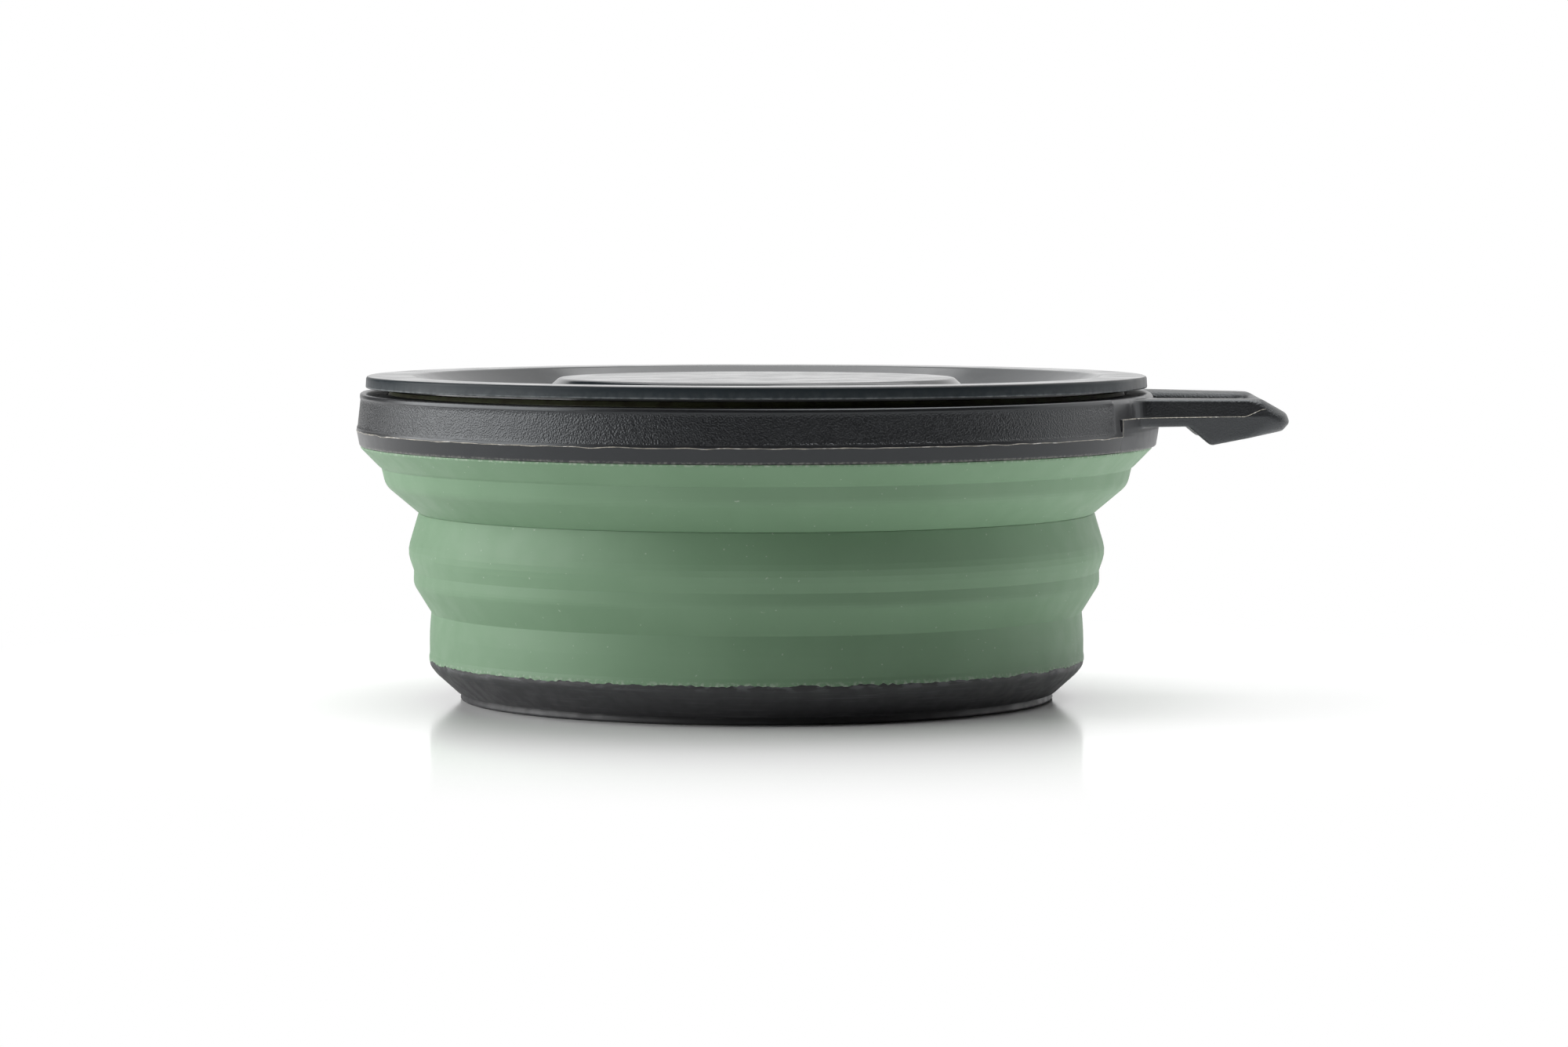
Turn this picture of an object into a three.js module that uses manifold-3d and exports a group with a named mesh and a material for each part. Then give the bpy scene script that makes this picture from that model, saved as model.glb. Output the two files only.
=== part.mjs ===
// Collapsible camp bowl with a press-in lid.
// Millimetres, +Z up. The origin is the middle of the base's underside, and the handle points along +X.
// A silicone bellows wall joins a rigid base tray to a rigid rim frame, which carries the looped handle.
// The wall is divided at its fold lines, so that its stiff bands can slide down over each other.

import * as THREE from "three";
import { mergeVertices } from "three/addons/utils/BufferGeometryUtils.js";
import Module from "manifold-3d";

const wasm = await Module();
wasm.setup();

// How finely round forms are divided
const TURN_STEPS = 48;
const CURVE_STEPS = 3;
const SAME_POINT = 1e-4;

// Clearances
const BOND_GAP = 0.15;
const SEAL_GAP = 0.15;
const LID_GAP = 1.1;

// Base tray
const BASE_RADIUS = 58.9;
const BASE_HEIGHT = 7.5;
const FOOT_INSET = 5.4;
const FOOT_HEIGHT = 1.5;
const FOOT_WIDTH = 6;
const FOOT_STEP = 0.5;
const UNDERSIDE_RECESS = 0.8;
const CENTRE_PAD_RADIUS = 15;
const CHAMFER_LAND = 1.2;
const FLOOR_THICKNESS = 2.4;
const UPSTAND_WALL = 1.8;
const UPSTAND_HEIGHT = 4;

// Silicone wall, from the base up
const BAND_WALL = 2.1;
const FOLD_WALL = 1.5;
const LOWER_BAND_HEIGHT = 8.1;
const LOWER_BAND_TAPER = 2.2;
const LOWER_CREASE_DEPTH = 0.3;
const LOWER_FOLD_HEIGHT = 7.5;
const LOWER_FOLD_SPREAD = 3.2;
const LOWER_SHOULDER_HEIGHT = 2.4;
const LOWER_SHOULDER_LEAN = 0.1;
const MIDDLE_BAND_HEIGHT = 10.4;
const BULGE_RISE = 3.4;
const BULGE_DEPTH = 1.05;
const UPPER_CREASE_DEPTH = 2.05;
const UPPER_FOLD_HEIGHT = 8.1;
const UPPER_FOLD_SPREAD = 6.8;
const UPPER_SHOULDER_HEIGHT = 3.15;
const UPPER_SHOULDER_LEAN = 1.05;
const UPPER_BAND_HEIGHT = 3.85;
const UPPER_BAND_SPREAD = 2.9;
const WALL_ROUNDING = 1.5;

// Rim frame: an upside-down channel that grips the wall's top bead
const RIM_LIP = 0.25;
const RIM_HEIGHT = 9.4;
const RIM_PARTING_HEIGHT = 2.8;
const RIM_FLARE = 1.25;
const RIM_DRAFT = 0.7;
const RIM_WIDTH = 4.7;
const RIM_EDGE_ROUNDING = 0.7;
const INNER_LEG_WALL = 1.3;
const INNER_LEG_RISE = 1.5;
const BEAD_WALL = 1.2;
const BEAD_HEIGHT = 6;

// Looped handle
const HANDLE_ROOT_WIDTH = 50;
const HANDLE_TIP_WIDTH = 36;
const HANDLE_REACH = 23.2;
const HANDLE_THICKNESS = 4.6;
const HANDLE_DROP = 0.75;
const HANDLE_BAR = 7;
const HANDLE_TIP_BAR = 8.2;
const HANDLE_ROOT_FILLET = 7;
const HANDLE_CORNER = 2;
const SLOT_CORNER = 3;
const HOOK_START = 4.3;
const HOOK_RUN = 4.2;
const HOOK_DROP = 3.5;
const TIP_SLOPE_RUN = 6.4;
const TIP_NOSE_DROP = 4.3;
const TIP_UNDERCUT = 1.5;
const HANDLE_ROUNDING = 1;

// Lid
const LID_SETBACK = 1.1;
const LID_FLANGE = 2.5;
const LID_WALL = 2;
const LID_LAND_WIDTH = 8.2;
const DISH_DEPTH = 5.8;
const DISH_SLOPE_RUN = 11;
const DISH_FLOOR_WIDTH = 9.5;
const PLATEAU_SLOPE_RUN = 6;
const PLATEAU_DROP = 0.4;
const SKIRT_WALL = 1.7;
const SKIRT_DEPTH = 5.9;
const SKIRT_RIDGE = 0.8;
const RIDGE_HEIGHT = 2;
const LID_ROUNDING = 0.6;
const GASKET_WALL = 1.5;
const GASKET_LIP = 0.5;

// Heights, worked out from the floor up
const floorZ = UNDERSIDE_RECESS + FLOOR_THICKNESS;
const jointZ = BASE_HEIGHT;
const lowerCreaseZ = jointZ + BOND_GAP + LOWER_BAND_HEIGHT;
const lowerStepZ = lowerCreaseZ + LOWER_FOLD_HEIGHT;
const upperCreaseZ = lowerStepZ + MIDDLE_BAND_HEIGHT;
const upperStepZ = upperCreaseZ + UPPER_FOLD_HEIGHT;
const wallTopZ = upperStepZ + UPPER_BAND_HEIGHT;
const rimFootZ = wallTopZ + BOND_GAP;
const rimTopZ = rimFootZ + RIM_HEIGHT;
const innerLegFootZ = rimFootZ + INNER_LEG_RISE;
const beadTopZ = wallTopZ + BEAD_HEIGHT;
const lidSeatZ = rimTopZ + LID_GAP;
const lidTopZ = lidSeatZ + LID_FLANGE;

// Radii, worked out from the base's edge outwards and the lid's edge inwards
const footRadius = BASE_RADIUS - FOOT_INSET;
const bandInnerRadius = BASE_RADIUS - BAND_WALL;
const upstandRadius = bandInnerRadius - BOND_GAP;
const lowerCreaseRadius = BASE_RADIUS - LOWER_CREASE_DEPTH;
const lowerStepRadius = lowerCreaseRadius + LOWER_FOLD_SPREAD;
const bulgeRadius = lowerStepRadius + BULGE_DEPTH;
const upperCreaseRadius = bulgeRadius - UPPER_CREASE_DEPTH;
const upperStepRadius = upperCreaseRadius + UPPER_FOLD_SPREAD;
const wallTopRadius = upperStepRadius + UPPER_BAND_SPREAD;
const rimFootRadius = wallTopRadius + RIM_LIP;
const rimRadius = rimFootRadius + RIM_FLARE;
const rimTopRadius = rimRadius - RIM_DRAFT;
const rimInnerRadius = rimTopRadius - RIM_WIDTH;
const innerLegRadius = rimInnerRadius + INNER_LEG_WALL;
const beadInnerRadius = innerLegRadius + BOND_GAP;
const beadRadius = beadInnerRadius + BEAD_WALL;
const channelRadius = beadRadius + BOND_GAP;
const handleRootX = Math.sqrt(rimTopRadius ** 2 - (HANDLE_ROOT_WIDTH / 2) ** 2);
const handleTipX = rimRadius + HANDLE_REACH;
const handleCornerX = handleTipX - HANDLE_CORNER;
const lidRadius = rimTopRadius - LID_SETBACK;
const gasketRadius = rimInnerRadius - SEAL_GAP;
const gasketInnerRadius = gasketRadius - GASKET_WALL;
const skirtRadius = gasketInnerRadius - SEAL_GAP;
const skirtInnerRadius = skirtRadius - SKIRT_WALL;

/** Moves a corner toward its neighbour by the given distance, but never past the middle of their edge. */
function toward(corner, neighbour, distance) {
  const edge = neighbour.clone().sub(corner);
  return edge.clampLength(0, Math.min(distance, edge.length() / 2)).add(corner);
}

/** Draws a closed outline through corners [x, y, rounding], where the rounding may be left out. */
function outlineThrough(corners) {
  const points = corners.map(([x, y]) => new THREE.Vector2(x, y));
  const outline = new THREE.Shape();
  corners.forEach(([x, y, rounding = 0], index) => {
    const start = toward(points[index], points.at(index - 1), rounding);
    const end = toward(points[index], points[(index + 1) % points.length], rounding);
    if (index === 0) {
      outline.moveTo(start.x, start.y);
    } else {
      outline.lineTo(start.x, start.y);
    }
    if (rounding > 0) {
      outline.quadraticCurveTo(x, y, end.x, end.y);
    }
  });
  outline.closePath();
  return outline;
}

/** Turns an outline, drawn as [radius, height] and anticlockwise, about the Z axis. */
function turned(corners) {
  const onAxis = corners[0][0] === 0;
  const points = outlineThrough(corners).getPoints(CURVE_STEPS);
  if (onAxis) {
    points.pop();
  }
  return new THREE.LatheGeometry(points, TURN_STEPS).rotateX(Math.PI / 2);
}

/** Makes a solid for joining and cutting from a closed geometry. */
function solidFrom(geometry) {
  const bare = geometry.clone();
  bare.deleteAttribute("normal");
  bare.deleteAttribute("uv");
  const merged = mergeVertices(bare, SAME_POINT);
  const vertProperties = new Float32Array(merged.attributes.position.array);
  const triVerts = new Uint32Array(merged.index.array);
  return new wasm.Manifold(new wasm.Mesh({ numProp: 3, vertProperties, triVerts }));
}

/** Gives a joined or cut solid back as a geometry. */
function geometryFrom(solid) {
  const mesh = solid.getMesh();
  const geometry = new THREE.BufferGeometry();
  geometry.setAttribute("position", new THREE.BufferAttribute(mesh.vertProperties, 3));
  geometry.setIndex(new THREE.BufferAttribute(mesh.triVerts, 1));
  geometry.computeVertexNormals();
  return geometry;
}

const silicone = new THREE.MeshStandardMaterial({ color: "#6f8a6e", roughness: 0.62, metalness: 0 });
const basePlastic = new THREE.MeshStandardMaterial({ color: "#2b2d2f", roughness: 0.6, metalness: 0 });
const rimPlastic = new THREE.MeshStandardMaterial({ color: "#303234", roughness: 0.55, metalness: 0 });
const lidPlastic = new THREE.MeshStandardMaterial({ color: "#33393d", roughness: 0.22, metalness: 0 });
const gasketSilicone = new THREE.MeshStandardMaterial({ color: "#5d6b4f", roughness: 0.55, metalness: 0 });

/** Base tray: foot ring and centre pad below, chamfered side, and an upstand inside the wall. */
function baseTray() {
  const footInnerRadius = footRadius - FOOT_WIDTH;
  const upstandInnerRadius = upstandRadius - UPSTAND_WALL;
  const upstandTopZ = jointZ + UPSTAND_HEIGHT;
  return turned([
    [0, 0],
    [CENTRE_PAD_RADIUS, 0],
    [CENTRE_PAD_RADIUS, UNDERSIDE_RECESS],
    [footInnerRadius, UNDERSIDE_RECESS],
    [footInnerRadius, 0],
    [footRadius, 0],
    [footRadius, FOOT_HEIGHT],
    [footRadius + FOOT_STEP, FOOT_HEIGHT],
    [BASE_RADIUS, jointZ - CHAMFER_LAND, CHAMFER_LAND],
    [BASE_RADIUS, jointZ],
    [upstandRadius, jointZ],
    [upstandRadius, upstandTopZ],
    [upstandInnerRadius, upstandTopZ, UPSTAND_WALL / 2],
    [upstandInnerRadius, floorZ, UPSTAND_WALL],
    [0, floorZ],
  ]);
}

/** Lower band of the wall, from the base's edge to the lower crease. */
function lowerBand() {
  const taperZ = lowerCreaseZ - LOWER_BAND_TAPER;
  return turned([
    [bandInnerRadius, jointZ + BOND_GAP],
    [BASE_RADIUS, jointZ + BOND_GAP],
    [BASE_RADIUS, taperZ, LOWER_BAND_TAPER],
    [lowerCreaseRadius, lowerCreaseZ],
    [lowerCreaseRadius - FOLD_WALL, lowerCreaseZ],
    [bandInnerRadius, taperZ, LOWER_BAND_TAPER],
  ]);
}

/** A fold of the wall: a slope out from the crease, a rounded shoulder and a short rise to the step. */
function fold(creaseRadius, creaseZ, stepRadius, stepZ, shoulderHeight, shoulderLean) {
  const shoulderRadius = stepRadius - shoulderLean;
  const shoulderZ = stepZ - shoulderHeight;
  return turned([
    [creaseRadius - FOLD_WALL, creaseZ],
    [creaseRadius, creaseZ],
    [shoulderRadius, shoulderZ, WALL_ROUNDING],
    [stepRadius, stepZ],
    [stepRadius - FOLD_WALL, stepZ],
    [shoulderRadius - FOLD_WALL, shoulderZ, WALL_ROUNDING],
  ]);
}

/** Middle band of the wall, with its rounded bulge. */
function middleBand() {
  const bulgeZ = lowerStepZ + BULGE_RISE;
  return turned([
    [lowerStepRadius - FOLD_WALL, lowerStepZ],
    [lowerStepRadius, lowerStepZ],
    [bulgeRadius, bulgeZ, WALL_ROUNDING],
    [upperCreaseRadius, upperCreaseZ],
    [upperCreaseRadius - FOLD_WALL, upperCreaseZ],
    [bulgeRadius - BAND_WALL, bulgeZ, WALL_ROUNDING],
  ]);
}

/** Upper band of the wall, with the bead that the rim frame grips. */
function upperBand() {
  const innerSeatZ = innerLegFootZ - BOND_GAP;
  return turned([
    [upperStepRadius - FOLD_WALL, upperStepZ],
    [upperStepRadius, upperStepZ],
    [wallTopRadius, wallTopZ],
    [beadRadius, wallTopZ],
    [beadRadius, beadTopZ],
    [beadInnerRadius, beadTopZ],
    [beadInnerRadius, innerSeatZ],
    [rimInnerRadius, innerSeatZ],
  ]);
}

/** Ring of the rim frame, widest at its parting line and open below for the wall's bead. */
function rimRing() {
  const channelTopZ = beadTopZ + BOND_GAP;
  return turned([
    [channelRadius, rimFootZ],
    [rimFootRadius, rimFootZ],
    [rimRadius, rimFootZ + RIM_PARTING_HEIGHT],
    [rimTopRadius, rimTopZ, RIM_EDGE_ROUNDING],
    [rimInnerRadius, rimTopZ, RIM_EDGE_ROUNDING],
    [rimInnerRadius, innerLegFootZ],
    [innerLegRadius, innerLegFootZ],
    [innerLegRadius, channelTopZ],
    [channelRadius, channelTopZ],
  ]);
}

/** Side outline of the handle: flat top, sloped nose, and a hook under the tip for the fingers. */
function handleSide() {
  const topZ = rimTopZ - HANDLE_DROP;
  const bottomZ = topZ - HANDLE_THICKNESS;
  const hookX = rimRadius + HOOK_START;
  const noseZ = topZ - TIP_NOSE_DROP;
  return outlineThrough([
    [0, bottomZ],
    [hookX, bottomZ, HANDLE_ROUNDING],
    [hookX + HOOK_RUN, bottomZ - HOOK_DROP, HANDLE_ROUNDING],
    [handleTipX - TIP_UNDERCUT, noseZ - TIP_UNDERCUT, HANDLE_ROUNDING],
    [handleTipX, noseZ, HANDLE_ROUNDING],
    [handleTipX - TIP_SLOPE_RUN, topZ, 2 * HANDLE_ROUNDING],
    [0, topZ],
  ]);
}

/** Half the slot's width at a distance along the handle: the bars beside it keep their width. */
function slotHalfAt(x) {
  const share = (x - handleRootX) / (handleCornerX - handleRootX);
  return THREE.MathUtils.lerp(HANDLE_ROOT_WIDTH, HANDLE_TIP_WIDTH, share) / 2 - HANDLE_BAR;
}

/** Plan of the handle: two bars that narrow from rounded roots to a rounded tip, and the slot between them. */
function handlePlan() {
  const root = new THREE.Vector2(handleRootX, HANDLE_ROOT_WIDTH / 2);
  const tip = new THREE.Vector2(handleCornerX, HANDLE_TIP_WIDTH / 2);
  const along = tip.clone().sub(root).normalize();
  const outward = new THREE.Vector2(-along.y, along.x);
  const centre = root.clone().addScaledVector(outward, HANDLE_ROOT_FILLET);
  const before = along.dot(centre);
  const squareGap = (rimTopRadius + HANDLE_ROOT_FILLET) ** 2 - centre.lengthSq();
  centre.addScaledVector(along, Math.sqrt(before ** 2 + squareGap) - before);
  const ringAngle = Math.PI - centre.angle();
  const barAngle = Math.PI - outward.angle();
  const cornerY = tip.y - HANDLE_CORNER;
  const quarter = Math.PI / 2;
  const plan = new THREE.Shape();
  plan.moveTo(0, 0);
  plan.absarc(centre.x, -centre.y, HANDLE_ROOT_FILLET, ringAngle, barAngle, true);
  plan.absarc(handleCornerX, -cornerY, HANDLE_CORNER, -quarter, 0, false);
  plan.absarc(handleCornerX, cornerY, HANDLE_CORNER, 0, quarter, false);
  plan.absarc(centre.x, centre.y, HANDLE_ROOT_FILLET, -barAngle, -ringAngle, true);
  plan.closePath();
  const slotX = handleTipX - HANDLE_TIP_BAR;
  plan.holes.push(
    outlineThrough([
      [channelRadius, -slotHalfAt(channelRadius)],
      [slotX, -slotHalfAt(slotX), SLOT_CORNER],
      [slotX, slotHalfAt(slotX), SLOT_CORNER],
      [channelRadius, slotHalfAt(channelRadius)],
    ]),
  );
  return plan;
}

/** Rim frame: the ring and the handle as one moulding. */
function rimFrame() {
  const span = 2 * rimRadius;
  const extrusion = { bevelEnabled: false, curveSegments: CURVE_STEPS };
  const side = new THREE.ExtrudeGeometry(handleSide(), { ...extrusion, depth: span });
  side.rotateX(Math.PI / 2).translate(0, span / 2, 0);
  const plan = new THREE.ExtrudeGeometry(handlePlan(), { ...extrusion, depth: lidTopZ });
  const legMiddleRadius = (channelRadius + rimFootRadius) / 2;
  const bore = turned([
    [0, 0],
    [legMiddleRadius, 0],
    [legMiddleRadius, lidTopZ],
    [0, lidTopZ],
  ]);
  const handle = solidFrom(side).intersect(solidFrom(plan)).subtract(solidFrom(bore));
  return geometryFrom(solidFrom(rimRing()).add(handle));
}

/** Lid: flat land round a dished panel with a raised middle, and a skirt below that plugs into the rim. */
function lidPanel() {
  const dishRadius = lidRadius - LID_LAND_WIDTH;
  const dishFloorRadius = dishRadius - DISH_SLOPE_RUN;
  const plateauFootRadius = dishFloorRadius - DISH_FLOOR_WIDTH;
  const plateauRadius = plateauFootRadius - PLATEAU_SLOPE_RUN;
  const dishFloorZ = lidTopZ - DISH_DEPTH;
  const plateauZ = lidTopZ - PLATEAU_DROP;
  const skirtFootZ = lidSeatZ - SKIRT_DEPTH;
  const ridgeTopZ = skirtFootZ + RIDGE_HEIGHT;
  return turned([
    [0, plateauZ - LID_WALL],
    [plateauRadius - LID_WALL / 2, plateauZ - LID_WALL],
    [plateauFootRadius - LID_WALL / 2, dishFloorZ - LID_WALL],
    [dishFloorRadius, dishFloorZ - LID_WALL],
    [skirtInnerRadius, lidSeatZ],
    [skirtInnerRadius, skirtFootZ],
    [skirtRadius + SKIRT_RIDGE, skirtFootZ],
    [skirtRadius + SKIRT_RIDGE, ridgeTopZ],
    [skirtRadius, ridgeTopZ],
    [skirtRadius, lidSeatZ],
    [lidRadius, lidSeatZ],
    [lidRadius, lidTopZ, LID_ROUNDING],
    [dishRadius, lidTopZ, LID_WALL],
    [dishFloorRadius, dishFloorZ, LID_WALL],
    [plateauFootRadius, dishFloorZ, LID_WALL],
    [plateauRadius, plateauZ, LID_WALL],
    [0, plateauZ],
  ]);
}

/** Lid gasket: a ring with two lips, between the skirt's ridge and the lid's flange. */
function lidGasket() {
  const footZ = lidSeatZ - SKIRT_DEPTH + RIDGE_HEIGHT + SEAL_GAP;
  const topZ = lidSeatZ - SEAL_GAP;
  const waistZ = (footZ + topZ) / 2;
  const quarter = (topZ - footZ) / 4;
  const waistRadius = gasketRadius - GASKET_LIP;
  return turned([
    [gasketInnerRadius, footZ],
    [waistRadius, footZ],
    [gasketRadius, waistZ - quarter, GASKET_LIP],
    [waistRadius, waistZ, GASKET_LIP],
    [gasketRadius, waistZ + quarter, GASKET_LIP],
    [waistRadius, topZ],
    [gasketInnerRadius, topZ],
  ]);
}

const lowerFold = fold(
  lowerCreaseRadius,
  lowerCreaseZ,
  lowerStepRadius,
  lowerStepZ,
  LOWER_SHOULDER_HEIGHT,
  LOWER_SHOULDER_LEAN,
);
const upperFold = fold(
  upperCreaseRadius,
  upperCreaseZ,
  upperStepRadius,
  upperStepZ,
  UPPER_SHOULDER_HEIGHT,
  UPPER_SHOULDER_LEAN,
);

const bowl = new THREE.Group();
const pieces = [
  ["base_tray", baseTray(), basePlastic],
  ["wall_lower_band", lowerBand(), silicone],
  ["wall_lower_fold", lowerFold, silicone],
  ["wall_middle_band", middleBand(), silicone],
  ["wall_upper_fold", upperFold, silicone],
  ["wall_upper_band", upperBand(), silicone],
  ["rim_frame", rimFrame(), rimPlastic],
  ["lid", lidPanel(), lidPlastic],
  ["lid_gasket", lidGasket(), gasketSilicone],
];
for (const [name, geometry, material] of pieces) {
  const mesh = new THREE.Mesh(geometry, material);
  mesh.name = name;
  bowl.add(mesh);
}

export default bowl;
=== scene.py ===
"""Dresses the collapsible bowl with lid around its CAD frame."""

import logging
import math
from dataclasses import dataclass
from enum import Enum
from functools import cached_property
from itertools import product
from typing import Callable, Sequence

import bpy
import numpy as np
from mathutils import Matrix, Vector


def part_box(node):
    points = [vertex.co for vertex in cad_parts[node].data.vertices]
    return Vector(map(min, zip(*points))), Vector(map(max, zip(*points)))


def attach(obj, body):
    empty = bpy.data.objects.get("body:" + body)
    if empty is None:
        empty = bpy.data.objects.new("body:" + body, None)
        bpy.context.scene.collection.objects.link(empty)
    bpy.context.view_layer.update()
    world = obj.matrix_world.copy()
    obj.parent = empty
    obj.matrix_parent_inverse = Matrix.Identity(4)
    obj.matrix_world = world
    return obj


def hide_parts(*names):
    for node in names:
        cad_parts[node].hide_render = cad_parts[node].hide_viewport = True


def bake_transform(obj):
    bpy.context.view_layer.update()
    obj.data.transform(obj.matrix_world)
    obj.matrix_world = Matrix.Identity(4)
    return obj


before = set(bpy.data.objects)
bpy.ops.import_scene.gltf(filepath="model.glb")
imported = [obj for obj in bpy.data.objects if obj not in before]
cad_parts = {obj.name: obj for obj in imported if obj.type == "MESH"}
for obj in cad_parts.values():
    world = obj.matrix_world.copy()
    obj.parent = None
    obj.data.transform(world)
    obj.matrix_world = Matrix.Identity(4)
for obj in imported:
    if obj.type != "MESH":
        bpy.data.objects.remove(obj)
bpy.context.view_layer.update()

MM = 0.001
LOG = logging.getLogger("bowl")
Array = np.ndarray
Triple = tuple[float, float, float]
Colour = Triple
Faces = list[tuple[int, ...]]
Outline = list[tuple[float, float]]
Socket = bpy.types.NodeSocket

# The most of an edge that the rounding of one corner may take up.
MOST_OF_EDGE = 0.48
# Millimetres, or their squares, that count as nothing.
NOTHING = 1e-12
ON_AXIS = 1e-6


class Body(Enum):
    """The rigid bodies of the CAD model that pieces ride on."""

    BASE = "base"
    MIDDLE = "middle"
    RIM = "rim"
    LID = "lid"


class Slot(Enum):
    """Names for material slots."""

    BASE = "base_plastic"
    WALL = "green_silicone"
    RIM = "rim_plastic"
    LID = "lid_plastic"
    GASKET = "gasket_silicone"


@dataclass(frozen=True)
class Corner:
    """A corner of an outline in millimetres, with the radius that rounds it."""

    across: float
    up: float
    rounding: float = 0.0


@dataclass(frozen=True)
class Span:
    """The reach of a CAD node in millimetres."""

    radius: float
    reach: float
    bottom: float
    top: float

    @classmethod
    def of(cls, node: str) -> "Span":
        """Measures a CAD node.

        Args:
            node: The node's name.

        Returns:
            Its radius across Y, its reach along X, its bottom and its top.
        """
        low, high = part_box(node)
        return cls(high.y / MM, high.x / MM, low.z / MM, high.z / MM)


def rounded(corners: Sequence[Corner], closed: bool, step: float = 9.0) -> Outline:
    """Rounds the corners of an outline with true arcs.

    Args:
        corners: The corners in order.
        closed: Whether the last corner joins the first.
        step: The turn between neighbouring points of an arc, in degrees.

    Returns:
        The points of the rounded outline.
    """
    points: Outline = []
    count = len(corners)
    for index, corner in enumerate(corners):
        here = np.array((corner.across, corner.up))
        at_end = not closed and index in (0, count - 1)
        if corner.rounding <= 0 or at_end:
            points.append((corner.across, corner.up))
            continue
        before = corners[index - 1]
        after = corners[(index + 1) % count]
        back = np.array((before.across, before.up)) - here
        ahead = np.array((after.across, after.up)) - here
        back_length, ahead_length = np.linalg.norm(back), np.linalg.norm(ahead)
        back, ahead = back / back_length, ahead / ahead_length
        half = math.acos(float(np.clip(back @ ahead, -1.0, 1.0))) / 2
        longest = MOST_OF_EDGE * min(back_length, ahead_length)
        reach = min(corner.rounding / math.tan(half), longest)
        radius = reach * math.tan(half)
        middle = back + ahead
        centre = here + middle / np.linalg.norm(middle) * radius / math.sin(half)
        start, end = here + back * reach - centre, here + ahead * reach - centre
        turn = math.pi - 2 * half
        sense = 1.0 if start[0] * end[1] - start[1] * end[0] > 0 else -1.0
        steps = max(2, math.ceil(math.degrees(turn) / step))
        for part in range(steps + 1):
            angle = sense * turn * part / steps
            cos, sin = math.cos(angle), math.sin(angle)
            points.append(
                (
                    float(centre[0] + start[0] * cos - start[1] * sin),
                    float(centre[1] + start[0] * sin + start[1] * cos),
                )
            )
    return points


def refined(outline: Outline, longest: float, closed: bool) -> Outline:
    """Divides the long edges of an outline, with a point close to each of their ends.

    Args:
        outline: The points of the outline.
        longest: The longest edge to leave whole, in millimetres.
        closed: Whether the last point joins the first.

    Returns:
        The points of the divided outline.
    """
    near = 0.08
    points: Outline = []
    edges = len(outline) if closed else len(outline) - 1
    for index in range(edges):
        start = np.array(outline[index])
        end = np.array(outline[(index + 1) % len(outline)])
        length = float(np.linalg.norm(end - start))
        shares = [0.0]
        if length > 4 * near:
            steps = max(1, math.ceil(length / longest))
            between = [part / steps for part in range(1, steps)]
            shares += [near / length, *between, 1 - near / length]
        points += [tuple(start + (end - start) * share) for share in shares]
    if not closed:
        points.append(outline[-1])
    return points


def ripple(angle: Array, seed: int, least: int, most: int, terms: int) -> Array:
    """Sums seeded waves round the bowl's axis.

    Args:
        angle: The angles to sample, in radians.
        seed: The seed of the waves.
        least: The fewest waves in a turn.
        most: The most waves in a turn.
        terms: How many waves are summed.

    Returns:
        A wave of about unit size at each angle.
    """
    rng = np.random.default_rng(seed)
    total = np.zeros_like(angle)
    for _ in range(terms):
        total += np.sin(rng.integers(least, most) * angle + rng.uniform(0, 2 * math.pi))
    return total / math.sqrt(terms / 2)


def mesh_piece(
    name: str, points: Array, faces: Sequence[Sequence[int]], crease: float
) -> bpy.types.Object:
    """Makes a smooth mesh object with sharp creases.

    Args:
        name: The object's name.
        points: The vertices in millimetres.
        faces: The vertex numbers of each face.
        crease: The angle in degrees beyond which an edge is sharp.

    Returns:
        The new object, linked to the scene.
    """
    mesh = bpy.data.meshes.new(name)
    mesh.from_pydata((points * MM).tolist(), [], faces)
    mesh.update()
    mesh.shade_smooth()
    mesh.set_sharp_from_angle(angle=math.radians(crease))
    piece = bpy.data.objects.new(name, mesh)
    bpy.context.scene.collection.objects.link(piece)
    return piece


def cartesian(angle: Array, radius: Array, height: Array) -> Array:
    """Turns angles in radians, radii and heights into points."""
    return np.stack((radius * np.cos(angle), radius * np.sin(angle), height), axis=-1)


def cylindrical(points: Array) -> tuple[Array, Array, Array]:
    """Turns points into angles in radians, radii and heights."""
    x, y, z = points.T
    return np.arctan2(y, x), np.hypot(x, y), z


def turned(
    name: str,
    outline: Outline,
    segments: int,
    shift: Callable[[Array, Array, Array], tuple[Array, Array]] | None = None,
    crease: float = 38.0,
) -> bpy.types.Object:
    """Turns an outline about the bowl's axis.

    Args:
        name: The object's name.
        outline: The points (radius, height) in millimetres. Ends on the axis become poles, and
            an outline off the axis is closed.
        segments: How many steps make the turn.
        shift: Moves the points, given their angles, radii and heights.
        crease: The angle in degrees beyond which an edge is sharp.

    Returns:
        The new object.
    """
    on_axis = outline[0][0] < ON_AXIS
    ring = outline[1:-1] if on_axis else outline
    count = len(ring)
    angle = np.linspace(0, 2 * math.pi, segments, endpoint=False)[:, None]
    radius = np.broadcast_to(np.array([p[0] for p in ring]), (segments, count))
    height = np.broadcast_to(np.array([p[1] for p in ring]), (segments, count))
    if shift:
        radius, height = shift(angle, radius, height)
    points = cartesian(angle, radius, height).reshape(-1, 3)
    faces: Faces = []
    for turn in range(segments):
        here, there = turn * count, (turn + 1) % segments * count
        for part in range(count - 1 if on_axis else count):
            after = (part + 1) % count
            faces.append((here + part, there + part, there + after, here + after))
    if on_axis:
        first, last = len(points), len(points) + 1
        points = np.vstack((points, [(0, 0, outline[0][1])], [(0, 0, outline[-1][1])]))
        for turn in range(segments):
            here, there = turn * count, (turn + 1) % segments * count
            faces.append((first, there, here))
            faces.append((last, here + count - 1, there + count - 1))
    return mesh_piece(name, points, faces, crease)


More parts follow.
